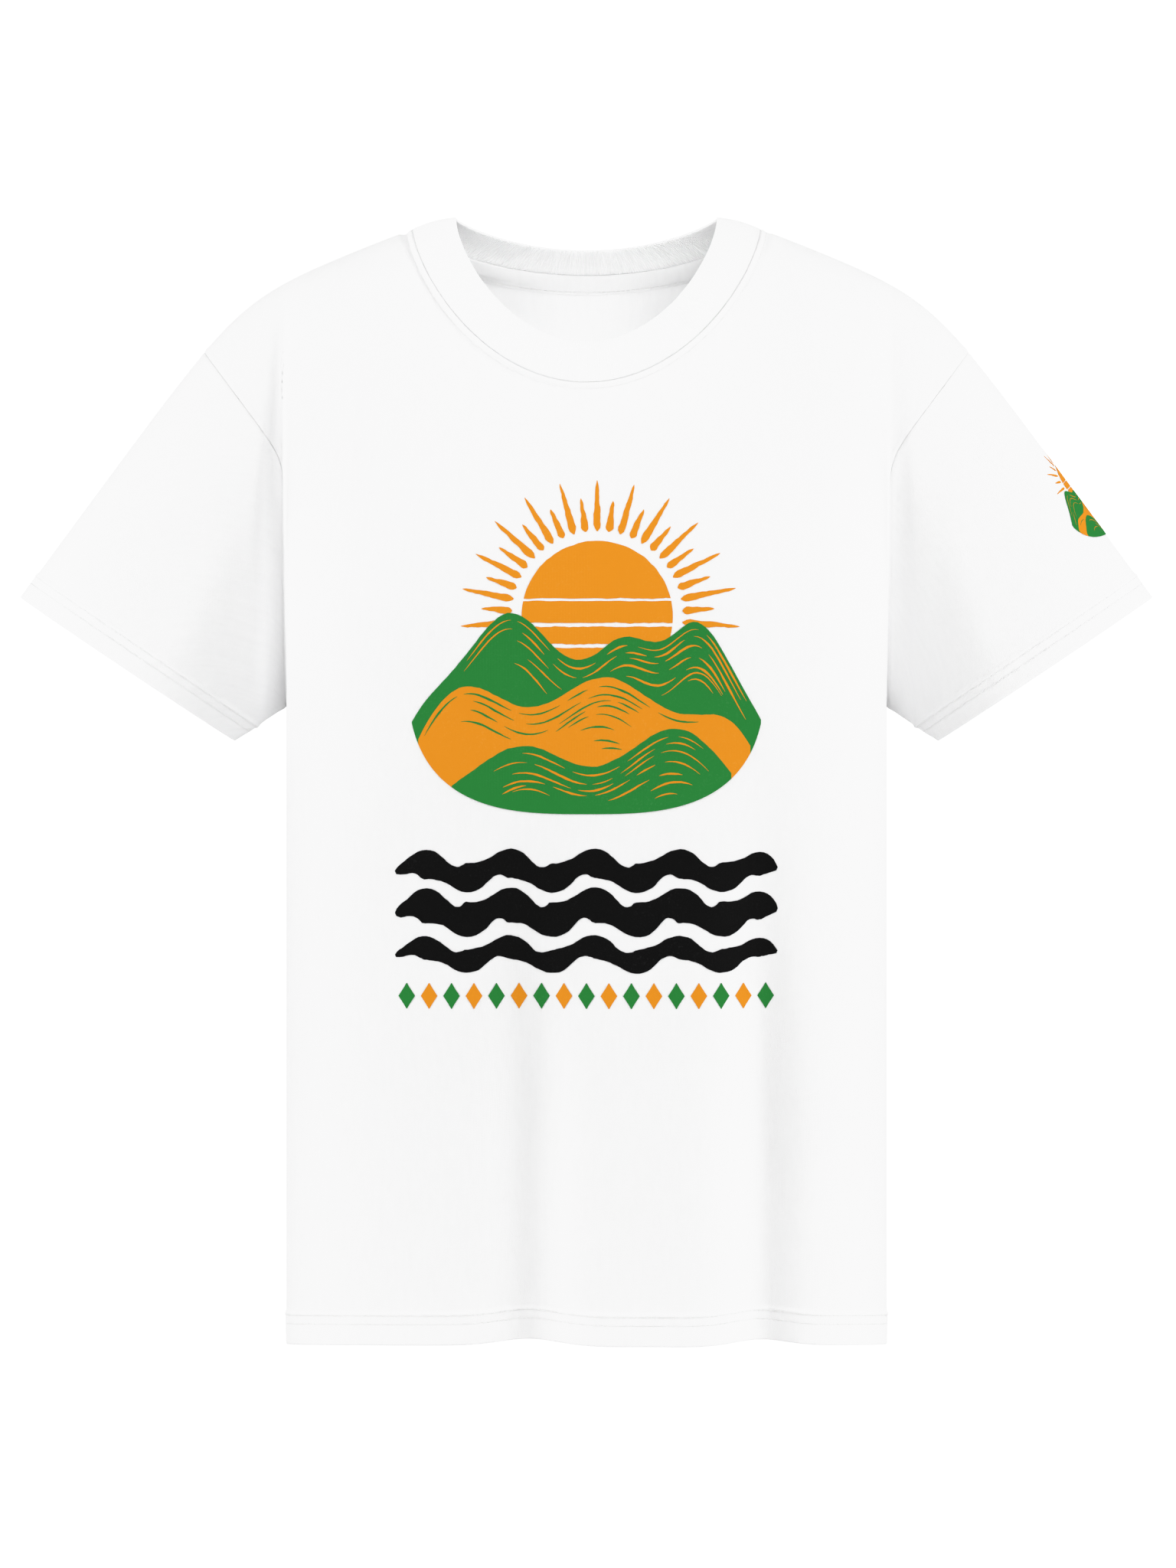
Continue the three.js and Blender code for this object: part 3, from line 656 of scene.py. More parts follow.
def section_faces(rows, columns, ring, grid_rows, last, first):
    row = np.arange(rows)[:, None]
    column = np.arange(columns if ring else columns - 1)[None]
    next_row, next_column = (row + 1) % rows, (column + 1) % columns
    corners = [row * columns + column, row * columns + next_column,
               next_row * columns + next_column, next_row * columns + column]
    faces = [*np.stack(np.broadcast_arrays(*corners), axis=-1).reshape(-1, 4).tolist()]
    if ring:
        return faces
    inner_start = grid_rows + last
    for column, flip in ((0, 1), (columns - 1, -1)):
        for r in range(grid_rows - 1):
            opposite = inner_start + grid_rows - 1 - r
            strip = [r, r + 1, opposite - 1, opposite]
            faces.append([k * columns + column for k in strip][::flip])
        if last:
            strip = range(grid_rows - 1, inner_start + 1)
            faces.append([k * columns + column for k in strip][::flip])
        if first:
            strip = [*range(inner_start + grid_rows - 1, rows), 0]
            faces.append([k * columns + column for k in strip][::flip])
    return faces


def make_mesh(name, points, faces, flat_place=None):
    mesh = bpy.data.meshes.new(name)
    mesh.from_pydata(points.reshape(-1, 3).tolist(), [], faces)
    mesh.shade_smooth()
    mesh.set_sharp_from_angle(angle=radians(62))
    if flat_place is not None:
        attribute = mesh.attributes.new("knit_place", "FLOAT_VECTOR", "POINT")
        attribute.data.foreach_set("vector", flat_place.reshape(-1, 3).astype(np.float32).ravel())
    piece = bpy.data.objects.new(name, mesh)
    bpy.context.scene.collection.objects.link(piece)
    return piece


def make_cloth(name, outer, facings, thickness, knit, ring=False, folds=()):
    inner = outer - facings * thickness[..., None]
    section, last, first = cloth_section(outer, inner, folds)
    place = np.concatenate([knit, np.zeros_like(knit[..., :1])], axis=-1)
    places = np.array([*place, *[place[-1]] * last, *place[::-1], *[place[0]] * first])
    rows, columns = section.shape[:2]
    faces = section_faces(rows, columns, ring, len(outer), last, first)
    piece = make_mesh(name, section, faces, places)
    print(name, len(piece.data.vertices), "points")
    return piece


# %% [markdown]
# Each body panel is closed into cloth. The flat place of its knit is measured along the cloth: across
# along each row, from the middle column, and up along each column.

# %% The front and back panels
SHIRT_BODY = "root"


panels = {}
for side, grid, shares in ((FRONT, front_grid, front_shares), (BACK, back_grid, back_shares)):
    relief, up, across, to_neck = body_relief(grid, side, shares)
    facings = facing(grid)
    surface = grid + facings * relief[..., None]
    knit = np.stack([across - across[:, len(shares) // 2, None], up], axis=-1)
    piece = make_cloth(side.name + "_panel", surface, facings, layers(up, HEM_BAND), knit,
                       folds=("first",))
    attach(piece, SHIRT_BODY)
    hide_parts(side.name + "_body", "bottom_hem")
    panels[side.name] = SimpleNamespace(
        piece=piece, grid=surface, facings=facings, up=up, across=across, to_neck=to_neck,
        shares=shares,
    )

# %% The sleeves
def sleeve_relief(grid):
    down = length_up(grid)
    from_hem = down[-1:] - down
    around, girth = length_across(grid, ring=True)
    to_underarm = np.abs(around - around[:, RING_STEPS, None])
    relief = plain_seam(down) + plain_seam(to_underarm) * ease(from_hem, 2 * MM, 6 * MM)
    return relief + stitched_hem(from_hem, around, SLEEVE_HEM_BAND), from_hem, around, girth


for hand, grid in sleeve_grids.items():
    relief, from_hem, around, girth = sleeve_relief(grid)
    facings = facing(grid, ring=True)
    surface = grid + facings * relief[..., None]
    knit = np.stack([around, from_hem], axis=-1)
    piece = make_cloth(hand + "_sleeve_cloth", surface, facings, layers(from_hem, SLEEVE_HEM_BAND),
                       knit, ring=True, folds=("last",))
    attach(piece, SHIRT_BODY)
    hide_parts(hand + "_sleeve", hand + "_sleeve_hem")
    panels[hand + "_sleeve"] = SimpleNamespace(
        piece=piece, grid=surface, facings=facings, up=from_hem, across=around, girth=girth,
    )

# %% [markdown]
# ## Step 9: the ribbed collar
#
# The collar is a strip of one-by-one rib, folded lengthwise and sewn into the neckline. Its ribs
# run from the seam to the fold. They could be painted on as a bump, but they show along the
# neck's edge, so here every rib is real: the grid has six columns to a rib, and each spot moves
# out or in along a cosine.

# %% The line of the collar seam and of the collar's edge
COLLAR_THICKNESS = 1.6 * MM
NECK_EDGE_HALF_WIDTH = 84 * MM
NECK_EDGE_ROUNDNESS = 2.2
COLLAR_BULGE = 1.3 * MM
RIB_PITCH = 1.65 * MM
COLUMNS_PER_RIB = 6
RIB_DEPTH = 0.17 * MM
COLLAR_ROWS = 14


def neck_seam(side, samples=2001):
    x = -NECK_POINT[0] * np.cos(np.linspace(0, pi, samples))
    points = on_skin(side, x, neck_seam_z(side, x))
    points[[0, -1], 1] = 0
    return points


def neck_edge(side, samples=2001):
    share = -np.cos(np.linspace(0, pi, samples))
    depth = side.neck_edge_depth * round_off(share, NECK_EDGE_ROUNDNESS)
    z = side.neck_edge_low * arch_over(share, side.neck_edge_arch)
    return np.stack([share * NECK_EDGE_HALF_WIDTH, side.sign * depth, z], axis=1)


seam_ring, edge_ring, ribs = [], [], 0
for side in (FRONT, BACK):
    seam, edge = neck_seam(side), neck_edge(side)
    side_ribs = round(line_length(seam) / RIB_PITCH)
    shares = np.linspace(0, 1, side_ribs * COLUMNS_PER_RIB + 1)
    seam, edge = spaced_along(seam, shares), spaced_along(edge, shares)
    if side is BACK:
        seam, edge = seam[::-1], edge[::-1]
    seam_ring.append(seam[:-1])
    edge_ring.append(edge[:-1])
    ribs += side_ribs
seam_ring, edge_ring = np.concatenate(seam_ring), np.concatenate(edge_ring)
print("collar:", ribs, "ribs round a seam of", round(line_length(seam_ring), 3), "m")


# %% The collar's section and its ribs
def collar_grid():
    along = np.roll(seam_ring, -9, axis=0) - np.roll(seam_ring, 9, axis=0)
    outward = direction(np.cross(along, edge_ring - seam_ring))
    rows = []
    for share in np.linspace(0, 1, COLLAR_ROWS):
        arch = outward * (COLLAR_BULGE * np.sin(pi * share))
        rows.append(mix(seam_ring, edge_ring, share) + arch)
    return np.array(rows)


collar = collar_grid()
collar_facing = facing(collar, ring=True)
collar_up = length_up(collar)
rib_phase = 2 * pi * np.arange(len(seam_ring)) / COLUMNS_PER_RIB
rib_relief = RIB_DEPTH * np.cos(rib_phase) * ease(collar_up, 0.2 * MM, 1.6 * MM)
seam_roll = 0.15 * MM * bump(collar_up, 2 * MM, 1.2 * MM)

joint = np.argmin(np.abs(seam_ring[:, 0] - 70 * MM) + 10 * (seam_ring[:, 1] < 0))
rib_distance = length_across(collar, ring=True)[0]
from_joint = np.abs(rib_distance - rib_distance[:, joint, None])
joint_groove = -0.5 * MM * bump(from_joint, 0, 0.5 * MM) + 0.15 * MM * bump(from_joint, 2 * MM, 1.3 * MM)

collar_surface = collar + collar_facing * (rib_relief + seam_roll + joint_groove)[..., None]
inner_ribs = COLLAR_THICKNESS + 2 * rib_relief + joint_groove
collar_knit = np.stack([rib_distance, collar_up], axis=-1)
collar_piece = make_cloth("collar_rib", collar_surface, collar_facing, inner_ribs, collar_knit,
                          ring=True, folds=("last",))
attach(collar_piece, SHIRT_BODY)
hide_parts("neck_rib")

# %% [markdown]
# ## Step 10: the neck tape
#
# Inside the back of the neck a strip of folded jersey covers the seam of the collar, from near
# one shoulder to near the other. Its lower edge starts just inside the back panel and its upper
# edge just inside the collar. The rows between bridge the seam with a slight bulge, and one row
# of stitches holds the strip. The bridge doesn't follow the hollow of Step 7, so where that is
# deepest the panel still cuts into the back of the strip.

# %% The tape inside the back of the neck
TAPE_THICKNESS = 0.6 * MM
CLEARANCE = 0.3 * MM
TAPE_REACH = 9.5 * MM
TAPE_BULGE = 0.9 * MM
TAPE_ROWS = 16
TAPE_STITCHED_ROW = 2
TAPE_INSET = 0.028


def strip_at(panel, field, columns, wanted):
    """Places and facings on the chosen columns where a rising field reaches each wanted value."""
    rising = np.argsort(field[[0, -1], columns[0]])[0] == 0
    order = slice(None) if rising else slice(None, None, -1)
    places, facings = [], []
    for column in columns:
        known, spots = field[order, column], panel.grid[order, column]
        normals = panel.facings[order, column]
        places.append([np.interp(wanted, known, spots[:, k]) for k in range(3)])
        facings.append([np.interp(wanted, known, normals[:, k]) for k in range(3)])
    places = np.array(places).transpose(2, 0, 1)
    return places, direction(np.array(facings).transpose(2, 0, 1))


def neck_columns(panel, inset=0.0):
    return np.flatnonzero(np.abs(panel.shares - 0.5) < 0.2501 - inset)


back = panels["back"]
tape_columns = neck_columns(back, TAPE_INSET)[::-1]
low_line, low_outward = strip_at(back, back.to_neck, tape_columns, [TAPE_REACH])
low_line = low_line[0] - low_outward[0] * (JERSEY + CLEARANCE)
beside = [np.linalg.norm(seam_ring - spot, axis=1).argmin() for spot in back.grid[-1, tape_columns]]
high_line = collar[2, beside] - collar_facing[2, beside] * (COLLAR_THICKNESS + CLEARANCE)
tape_base = between(low_line, high_line, TAPE_ROWS)
tape_facing = -direction(between(low_outward[0], collar_facing[2, beside], TAPE_ROWS))
bulge = TAPE_BULGE * np.sin(pi * np.linspace(0, 1, TAPE_ROWS + 1))[:, None]
tape_grid = tape_base + tape_facing * (TAPE_THICKNESS + bulge)[..., None]
tape_up, tape_across = length_up(tape_grid), length_across(tape_grid)
tape_relief = -0.25 * MM * bump(tape_up, tape_up[TAPE_STITCHED_ROW], 0.6 * MM)
tape_surface = tape_grid + tape_facing * tape_relief[..., None]
tape_piece = make_cloth("neck_tape_strip", tape_surface, tape_facing,
                        np.full(tape_up.shape, TAPE_THICKNESS),
                        np.stack([tape_across, tape_up], axis=-1), folds=("first", "last"))
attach(tape_piece, SHIRT_BODY)
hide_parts("neck_tape")

# %% [markdown]
# ## Step 11: thread
#
# A stitch is a short arch of thread that dives into the cloth at both ends. One small capsule is
# worked out once and repeated along each row, so a row of hundreds of stitches is a single mesh.
# The hems have two rows side by side, as a twin needle sews them.

# %% A row of stitches
THREAD_RADIUS = 0.21 * MM
STITCH_PITCH = 3.1 * MM
STITCH_LENGTH = 2.6 * MM
STATIONS = np.array([-0.5, -0.4, -0.15, 0.15, 0.4, 0.5])
FULLNESS = np.array([0.4, 1, 1, 1, 1, 0.4])
LIFT = np.array([-0.5, 0.35, 0.7, 0.7, 0.35, -0.5])
SIDES = 6


def stitch_row(line, outward, closed=False):
    """Points and faces of the stitches along a line that lies on the cloth."""
    if closed:
        line, outward = np.append(line, line[:1], axis=0), np.append(outward, outward[:1], axis=0)
    count = int(line_length(line) / STITCH_PITCH)
    shares = (np.arange(count) + 0.5) / count
    both = np.concatenate([line, outward], axis=1)
    steps = np.linalg.norm(np.diff(line, axis=0), axis=1)
    travelled = np.concatenate([[0], np.cumsum(steps)])

    def at(share):
        wanted = share * travelled[-1]
        return np.stack([np.interp(wanted, travelled, both[:, k]) for k in range(6)], axis=1)

    middle = at(shares)
    before, after = at(shares - 0.3 / count), at(shares + 0.3 / count)
    tangent = direction(after[:, :3] - before[:, :3])
    up = direction(middle[:, 3:])
    aside = np.cross(tangent, up)
    angle = 2 * pi * np.arange(SIDES) / SIDES
    out = THREAD_RADIUS * (LIFT[:, None] + FULLNESS[:, None] * np.cos(angle))
    sideways = THREAD_RADIUS * FULLNESS[:, None] * np.sin(angle)
    along = np.broadcast_to(STITCH_LENGTH * STATIONS[:, None], out.shape)
    points = (middle[:, None, None, :3] + tangent[:, None, None] * along[None, ..., None]
              + up[:, None, None] * out[None, ..., None]
              + aside[:, None, None] * sideways[None, ..., None])
    faces = []
    for stitch in range(count):
        base = stitch * len(STATIONS) * SIDES
        for ring in range(len(STATIONS) - 1):
            for side in range(SIDES):
                near, far = base + ring * SIDES, base + (ring + 1) * SIDES
                other = (side + 1) % SIDES
                faces.append([near + side, near + other, far + other, far + side])
        faces.append([base + k for k in range(SIDES)][::-1])
        faces.append([base + (len(STATIONS) - 1) * SIDES + k for k in range(SIDES)])
    return points.reshape(-1, 3), faces


def thread_piece(name, rows):
    points, faces, total = [], [], 0
    for line, outward, closed in rows:
        some, some_faces = stitch_row(line, outward, closed)
        faces += [[corner + total for corner in face] for face in some_faces]
        points.append(some)
        total += len(some)
    piece = make_mesh(name, np.concatenate(points), faces)
    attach(piece, SHIRT_BODY)
    print(name, total // (len(STATIONS) * SIDES), "stitches")
    return piece


# %% Stitches of the hems, the collar and the tape
hem_rows, neck_rows = [], []
for name in ("front", "back"):
    panel = panels[name]
    every = np.arange(panel.grid.shape[1])
    hem_places, hem_outward = strip_at(panel, panel.up, every, [HEM_BAND - row for row in TWIN_ROWS])
    hem_rows += [(hem_places[k], hem_outward[k], False) for k in range(2)]
    columns = neck_columns(panel)
    neck_places, neck_outward = strip_at(panel, panel.to_neck, columns, [COLLAR_ROW])
    neck_rows.append((neck_places[0], neck_outward[0], False))
for name in ("left_sleeve", "right_sleeve"):
    panel = panels[name]
    every = np.arange(panel.grid.shape[1])
    places, outward = strip_at(panel, panel.up, every, [SLEEVE_HEM_BAND - row for row in TWIN_ROWS])
    hem_rows += [(places[k], outward[k], True) for k in range(2)]
tape_rows = [(tape_surface[TAPE_STITCHED_ROW], tape_facing[TAPE_STITCHED_ROW], False)]
hem_thread = thread_piece("hem_thread", hem_rows)
neck_thread = thread_piece("collar_thread", neck_rows)
tape_thread = thread_piece("tape_thread", tape_rows)

# %% [markdown]
# ## Step 12: the print
#
# A screen print is a film of ink that lies on the knit and bends with it. So the print is drawn
# as thin closed films, one mesh for each ink, each laid on the skin by the formula of Step 3.
# The picture is a plain one of a sun, hills and water, cut like a lino block: solid shapes with
# rough edges, and tapered marks where the gouge went. Every shape is a small grid of places on
# the flat picture, u across and v up, so the same drawing also goes on the sleeve, smaller.

# %% Marks of a lino block
ROUGHNESS_OF_EDGE = 0.32 * MM
edge_wander = wave_field(21, 3.5 * MM, 13 * MM, count=7)
chance = np.random.default_rng(8)
FIRST_INK, SECOND_INK, THIRD_INK, FOURTH_INK, FIFTH_INK = (MM * k for k in (0.16, 0.24, 0.32, 0.4, 0.48))


def mark(line, half_width, across=2, taper=0.0):
    """A cut mark along a line of places. taper is the share of each end that thins out."""
    tangent = np.gradient(line, axis=0)
    aside = np.stack([-tangent[:, 1], tangent[:, 0]], axis=1)
    aside = aside / np.linalg.norm(aside, axis=1, keepdims=True)
    share = np.linspace(0, 1, len(line))
    width = half_width * np.ones(len(line))
    if taper:
        width = width * np.sqrt(np.clip(np.minimum(share, 1 - share) / taper, 0.02, 1))
    rows = []
    for offset in np.linspace(-1, 1, across + 1):
        wander = ROUGHNESS_OF_EDGE * edge_wander(line[:, 0] + offset * 31 * MM, line[:, 1])
        reach = offset * width + offset * wander * np.minimum(1, width / MM)
        rows.append(line + aside * reach[:, None])
    return np.array(rows)


# %% Hills
def ridge_line(base, tops):
    """A hill line in shares of the picture's half width: a base that falls off at both ends,
    and a few round tops."""
    def line(u):
        level = base - 0.32 * u ** 6
        for place, height, width in tops:
            level = level + height * bump(u, place, width)
        return level

    return line


FAR_HILLS = ridge_line(-0.12, [(-0.42, 0.34, 0.26), (0.22, 0.2, 0.2), (0.62, 0.3, 0.2)])
MIDDLE_HILLS = ridge_line(-0.4, [(-0.7, 0.24, 0.3), (0.1, 0.26, 0.32), (0.78, 0.1, 0.2)])
NEAR_HILLS = ridge_line(-0.72, [(-0.35, 0.2, 0.3), (0.5, 0.3, 0.34)])
HIDDEN = 0.05


def ground(u):
    """The lower edge of the land, a shallow bowl."""
    return -0.9 * (1 - np.minimum(np.abs(u), 1) ** 3) ** (1 / 3)


def behind(ridge):
    """How far down a hill reaches when another hill stands before it."""
    def foot(u):
        return np.maximum(ridge(u) - HIDDEN, ground(u))

    return foot


def hill(centre, size, ridge, foot, step):
    u = np.sin(np.linspace(-pi / 2, pi / 2, int(2.6 * size / step) + 1))
    u = u[ridge(u) > ground(u)]
    top = ridge(u) + ROUGHNESS_OF_EDGE / size * edge_wander(u * size, 0 * u)
    rows = max(int(size / step / 3), 6)
    lower = np.stack([u, np.minimum(foot(u), top - 0.004)], axis=1) * size + np.array(centre)
    return between(lower, np.stack([u, top], axis=1) * size + np.array(centre), rows)


def hill_cuts(centre, size, ridge, foot, spacing, half_width):
    """Broken lines that follow a hill line downwards until the next hill covers them."""
    marks = []
    for level in range(1, 14):
        u = chance.uniform(-1, -0.9)
        while u < 1:
            run = chance.uniform(0.1, 0.34)
            along = np.linspace(u, u + run, max(int(run * size / (2 * MM)), 6))
            v = ridge(along) - level * spacing * (1 + 0.12 * np.sin(5 * along + level))
            inside = np.hypot(along, v) < 1.2
            if (v > foot(along) + HIDDEN + 0.02).all() and inside.all() and u + run < 0.985:
                line = np.stack([along, v], axis=1) * size + np.array(centre)
                marks.append(mark(line, half_width * chance.uniform(0.6, 1.2), taper=0.45))
            u += run + chance.uniform(0.03, 0.07)
    return marks


# %% The picture: a sun with rays behind three rows of hills
SUN_PLACE = (0.06, 0.2)
SUN_SIZE = 0.42
SUN_BARS = ((-0.62, -0.42), (-0.37, -0.14), (-0.09, 0.2), (0.235, 0.9999))


def picture(centre, size, rays, spacing):
    """Patches of orange and of green, each with the height at which it is printed."""
    fine = size / (112 * MM)
    step = max(size / 40, 1.6 * MM)
    sun_centre = np.array(centre) + np.array(SUN_PLACE) * size
    sun = SUN_SIZE * size
    orange, green = [], []
    for low, high in SUN_BARS:
        rows = []
        turn_from, turn_to = np.arcsin(low), np.arcsin(high)
        for turn in np.linspace(turn_from, turn_to, max(int((turn_to - turn_from) * sun / step), 2) + 1):
            level = np.sin(turn)
            u = np.linspace(-1, 1, 33) * np.cos(turn) * sun
            rough = ROUGHNESS_OF_EDGE * fine * edge_wander(u, np.full(33, level * sun))
            rows.append(np.stack([sun_centre[0] + u, sun_centre[1] + level * sun + rough], axis=1))
        orange.append((np.array(rows), FIRST_INK))
    for k, angle in enumerate(np.linspace(radians(-12), radians(192), rays)):
        heading = np.array([np.cos(angle), np.sin(angle)])
        reach = sun * (0.72 if k % 2 else 0.44) * chance.uniform(0.92, 1.06)
        share = np.linspace(0, 1, 16)
        line = sun_centre + heading * (sun * 1.13 + reach * share)[:, None]
        orange.append((mark(line, mix(2.6, 0.7, share) * fine * MM, taper=0.12), FIRST_INK))
    cut = 0.62 * fine * MM
    far_foot, middle_foot = behind(MIDDLE_HILLS), behind(NEAR_HILLS)
    green.append((hill(centre, size, FAR_HILLS, far_foot, step), SECOND_INK))
    orange.append((hill(centre, size, MIDDLE_HILLS, middle_foot, step), THIRD_INK))
    green.append((hill(centre, size, NEAR_HILLS, ground, step), FOURTH_INK))
    for patch in hill_cuts(centre, size, FAR_HILLS, far_foot, spacing, cut):
        orange.append((patch, THIRD_INK))
    for patch in hill_cuts(centre, size, MIDDLE_HILLS, middle_foot, spacing, cut):
        green.append((patch, FOURTH_INK))
    for patch in hill_cuts(centre, size, NEAR_HILLS, ground, spacing, cut):
        orange.append((patch, FIFTH_INK))
    return orange, green


# %% Water and a row of diamonds
def wave_band(centre, half_length, height, half_width):
    """A bold stroke that swells and thins as it waves along."""
    u = np.linspace(-half_length, half_length, int(2 * half_length / (1.8 * MM)))
    share = u / half_length
    v = height * np.sin(2 * pi * (2.25 * share + 0.2)) * (1 - 0.2 * share ** 2)
    line = np.stack([u + centre[0], v + centre[1]], axis=1)
    swell = half_width * (1 + 0.22 * np.sin(2 * pi * 2.25 * share * 2))
    return mark(line, swell, across=6, taper=0.06)


def diamond(centre, half_width, half_height):
    rows = []
    for share in np.linspace(-1, 1, 7):
        reach = half_width * max(1 - abs(share), 0.04)
        u = np.linspace(-reach, reach, 5)
        rows.append(np.stack([centre[0] + u, np.full(5, centre[1] + share * half_height)], axis=1))
    return np.array(rows)


# %% Films of ink
INK_THICKNESS = 0.1 * MM


def film(name, patches, place):
    """One closed thin mesh from patches of the flat picture. Each comes with its lift."""
    points, faces, flat_places, total = [], [], [], 0
    for patch, lift in patches:
        rows, columns = patch.shape[:2]
        count = rows * columns
        for level in (lift + INK_THICKNESS, lift):
            points.append(place(patch[..., 0], patch[..., 1], level).reshape(-1, 3))
            flat_places.append(patch.reshape(-1, 2))
        row, column = np.arange(rows - 1)[:, None], np.arange(columns - 1)[None]
        corner = row * columns + column
        quads = np.stack([corner, corner + 1, corner + columns + 1, corner + columns], -1).reshape(-1, 4)
        rim = [*range(columns), *range(2 * columns - 1, count, columns),
               *range(count - 2, count - columns - 1, -1),
               *range(count - 2 * columns, 0, -columns)]
        sides = [[a, a + count, b + count, b] for a, b in zip(rim, rim[1:] + rim[:1])]
        for face in (quads, quads[:, ::-1] + count, np.array(sides)):
            faces += (face + total).tolist()
        total += 2 * count
    flat = np.concatenate(flat_places)
    piece = make_mesh(name, np.concatenate(points), faces,
                      np.concatenate([flat, np.zeros((len(flat), 1))], axis=1))
    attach(piece, SHIRT_BODY)
    print(name, len(patches), "patches")
    return piece


# %% Laying the picture on the chest and on the sleeve
PRINT_MIDDLE = -335 * MM


def on_chest(u, v, lift):
    z = PRINT_MIDDLE + v
    points = on_skin(FRONT, u, z)
    points[..., 1] -= lift
    return points


SLEEVE_PRINT_ALONG = 0.42
sleeve = panels["left_sleeve"]


def on_left_sleeve(u, v, lift):
    """u runs round the sleeve from its upper edge and v up towards the shoulder."""
    rows, columns = sleeve.grid.shape[:2]
    row_place = (SLEEVE_PRINT_ALONG + 0 * u) * sleeve.up[0, 0] + v
    row = np.interp(row_place, sleeve.up[::-1, 0], np.arange(rows)[::-1])
    column = u / np.interp(row_place, sleeve.up[::-1, 0], sleeve.girth[::-1, 0]) * columns
    r, c = np.floor(row).astype(int), np.floor(column).astype(int)
    r = np.clip(r, 0, rows - 2)
    row_share, column_share = (row - r)[..., None], (column - c)[..., None]
    here, beside = c % columns, (c + 1) % columns

    def blend(values):
        first = mix(values[r, here], values[r, beside], column_share)
        second = mix(values[r + 1, here], values[r + 1, beside], column_share)
        return mix(first, second, row_share)

    return blend(sleeve.grid) + direction(blend(sleeve.facings)) * lift


# %% Printing
orange, green = picture((0, 56 * MM), 112 * MM, 27, 0.045)
for k, u in enumerate(np.linspace(-112 * MM, 112 * MM, 17)):
    target = orange if k % 2 else green
    target.append((diamond((u, -158 * MM), 5.2 * MM, 8 * MM), FIRST_INK))
black = []
for v, half_width in ((-80 * MM, 7.5 * MM), (-106 * MM, 9 * MM), (-132 * MM, 6 * MM)):
    black.append((wave_band((0, v), 119 * MM, 5 * MM, half_width), FIRST_INK))
chest_orange = film("chest_ink_orange", orange, on_chest)
chest_green = film("chest_ink_green", green, on_chest)
chest_black = film("chest_ink_black", black, on_chest)

orange, green = picture((0, 0), 36 * MM, 15, 0.09)
sleeve_orange = film("sleeve_ink_orange", orange, on_left_sleeve)
sleeve_green = film("sleeve_ink_green", green, on_left_sleeve)

# %% [markdown]
# ## Step 13: materials
#
# Jersey is a sheet of loops. From its right side they show as columns of small V shapes, called
# wales, about one to the millimetre. The stored flat place of each spot gives the column and the
# course, and a few math nodes turn the two into the height of a V.
#
# White cotton also lets light in. It comes out again a little further on, and some passes right
# through, which keeps the folds of a white shirt soft. Subsurface scattering at full weight does
# that, and its reach is set per cloth: longer in the thick rib, shorter in the tape.

# %% A small node builder
class Nodes:
    """Adds nodes to a material and links them, so that the recipes below read as formulas."""

    def __init__(self, name):
        self.material = bpy.data.materials.new(name)
        self.material.use_nodes = True
        self.tree = self.material.node_tree
        self.shader = self.tree.nodes["Principled BSDF"]

    def add(self, kind, inputs=None, **settings):
        node = self.tree.nodes.new(kind)
        for key, value in settings.items():
            setattr(node, key, value)
        for key, value in (inputs or {}).items():
            self.put(value, node.inputs[key])
        return node

    def put(self, value, socket):
        if isinstance(value, bpy.types.NodeSocket):
            self.tree.links.new(value, socket)
        else:
            socket.default_value = value

    def math(self, operation, a, b=0.0, c=0.0):
        return self.add("ShaderNodeMath", {0: a, 1: b, 2: c}, operation=operation).outputs[0]

    def remap(self, value, low, high, to_low, to_high):
        inputs = {"Value": value, "From Min": low, "From Max": high, "To Min": to_low, "To Max": to_high}
        return self.add("ShaderNodeMapRange", inputs).outputs["Result"]

    def noise(self, scale, detail=2.0, vector=None, stretch=None):
        place = vector or self.add("ShaderNodeTexCoord").outputs["Object"]
        if stretch:
            stretched = {0: place, 1: stretch}
            place = self.add("ShaderNodeVectorMath", stretched, operation="MULTIPLY").outputs[0]
        inputs = {"Vector": place, "Scale": scale, "Detail": detail}
        return self.add("ShaderNodeTexNoise", inputs).outputs["Fac"]

    def blend_colours(self, share, first, second):
        node = self.add("ShaderNodeMix", data_type="RGBA")
        for value, socket in ((share, 0), (first, 6), (second, 7)):
            self.put(value, node.inputs[socket])
        return node.outputs[2]

    def bump(self, height, distance, strength=1.0, normal=None):
        inputs = {"Height": height, "Distance": distance, "Strength": strength}
        if normal:
            inputs["Normal"] = normal
        return self.add("ShaderNodeBump", inputs).outputs["Normal"]

    def knit_place(self):
        place = self.add("ShaderNodeAttribute", attribute_name="knit_place").outputs["Vector"]
        split = self.add("ShaderNodeSeparateXYZ", {0: place})
        return split.outputs["X"], split.outputs["Y"], place


LIGHT_REACH = 1.0 * MM
WALE = 0.95 * MM
COURSE = 0.72 * MM


def stitches_of_jersey(nodes, wale=WALE, course=COURSE):
    """Height from 0 to 1 of the V loops."""
    across, up, place = nodes.knit_place()
    column = nodes.math("DIVIDE", across, wale)
    arm = nodes.math("ABSOLUTE", nodes.math("SUBTRACT", nodes.math("FRACT", column), 0.5))
    row = nodes.math("DIVIDE", up, course)
    leaning = nodes.math("SUBTRACT", row, nodes.math("MULTIPLY", arm, 1.3))
    strand = nodes.math("SINE", nodes.math("MULTIPLY", leaning, 2 * pi))
    groove = nodes.math("COSINE", nodes.math("MULTIPLY", column, 2 * pi))
    height = nodes.math("MULTIPLY_ADD", strand, 0.25, 0.5)
    return nodes.math("MULTIPLY_ADD", groove, -0.22, height), place


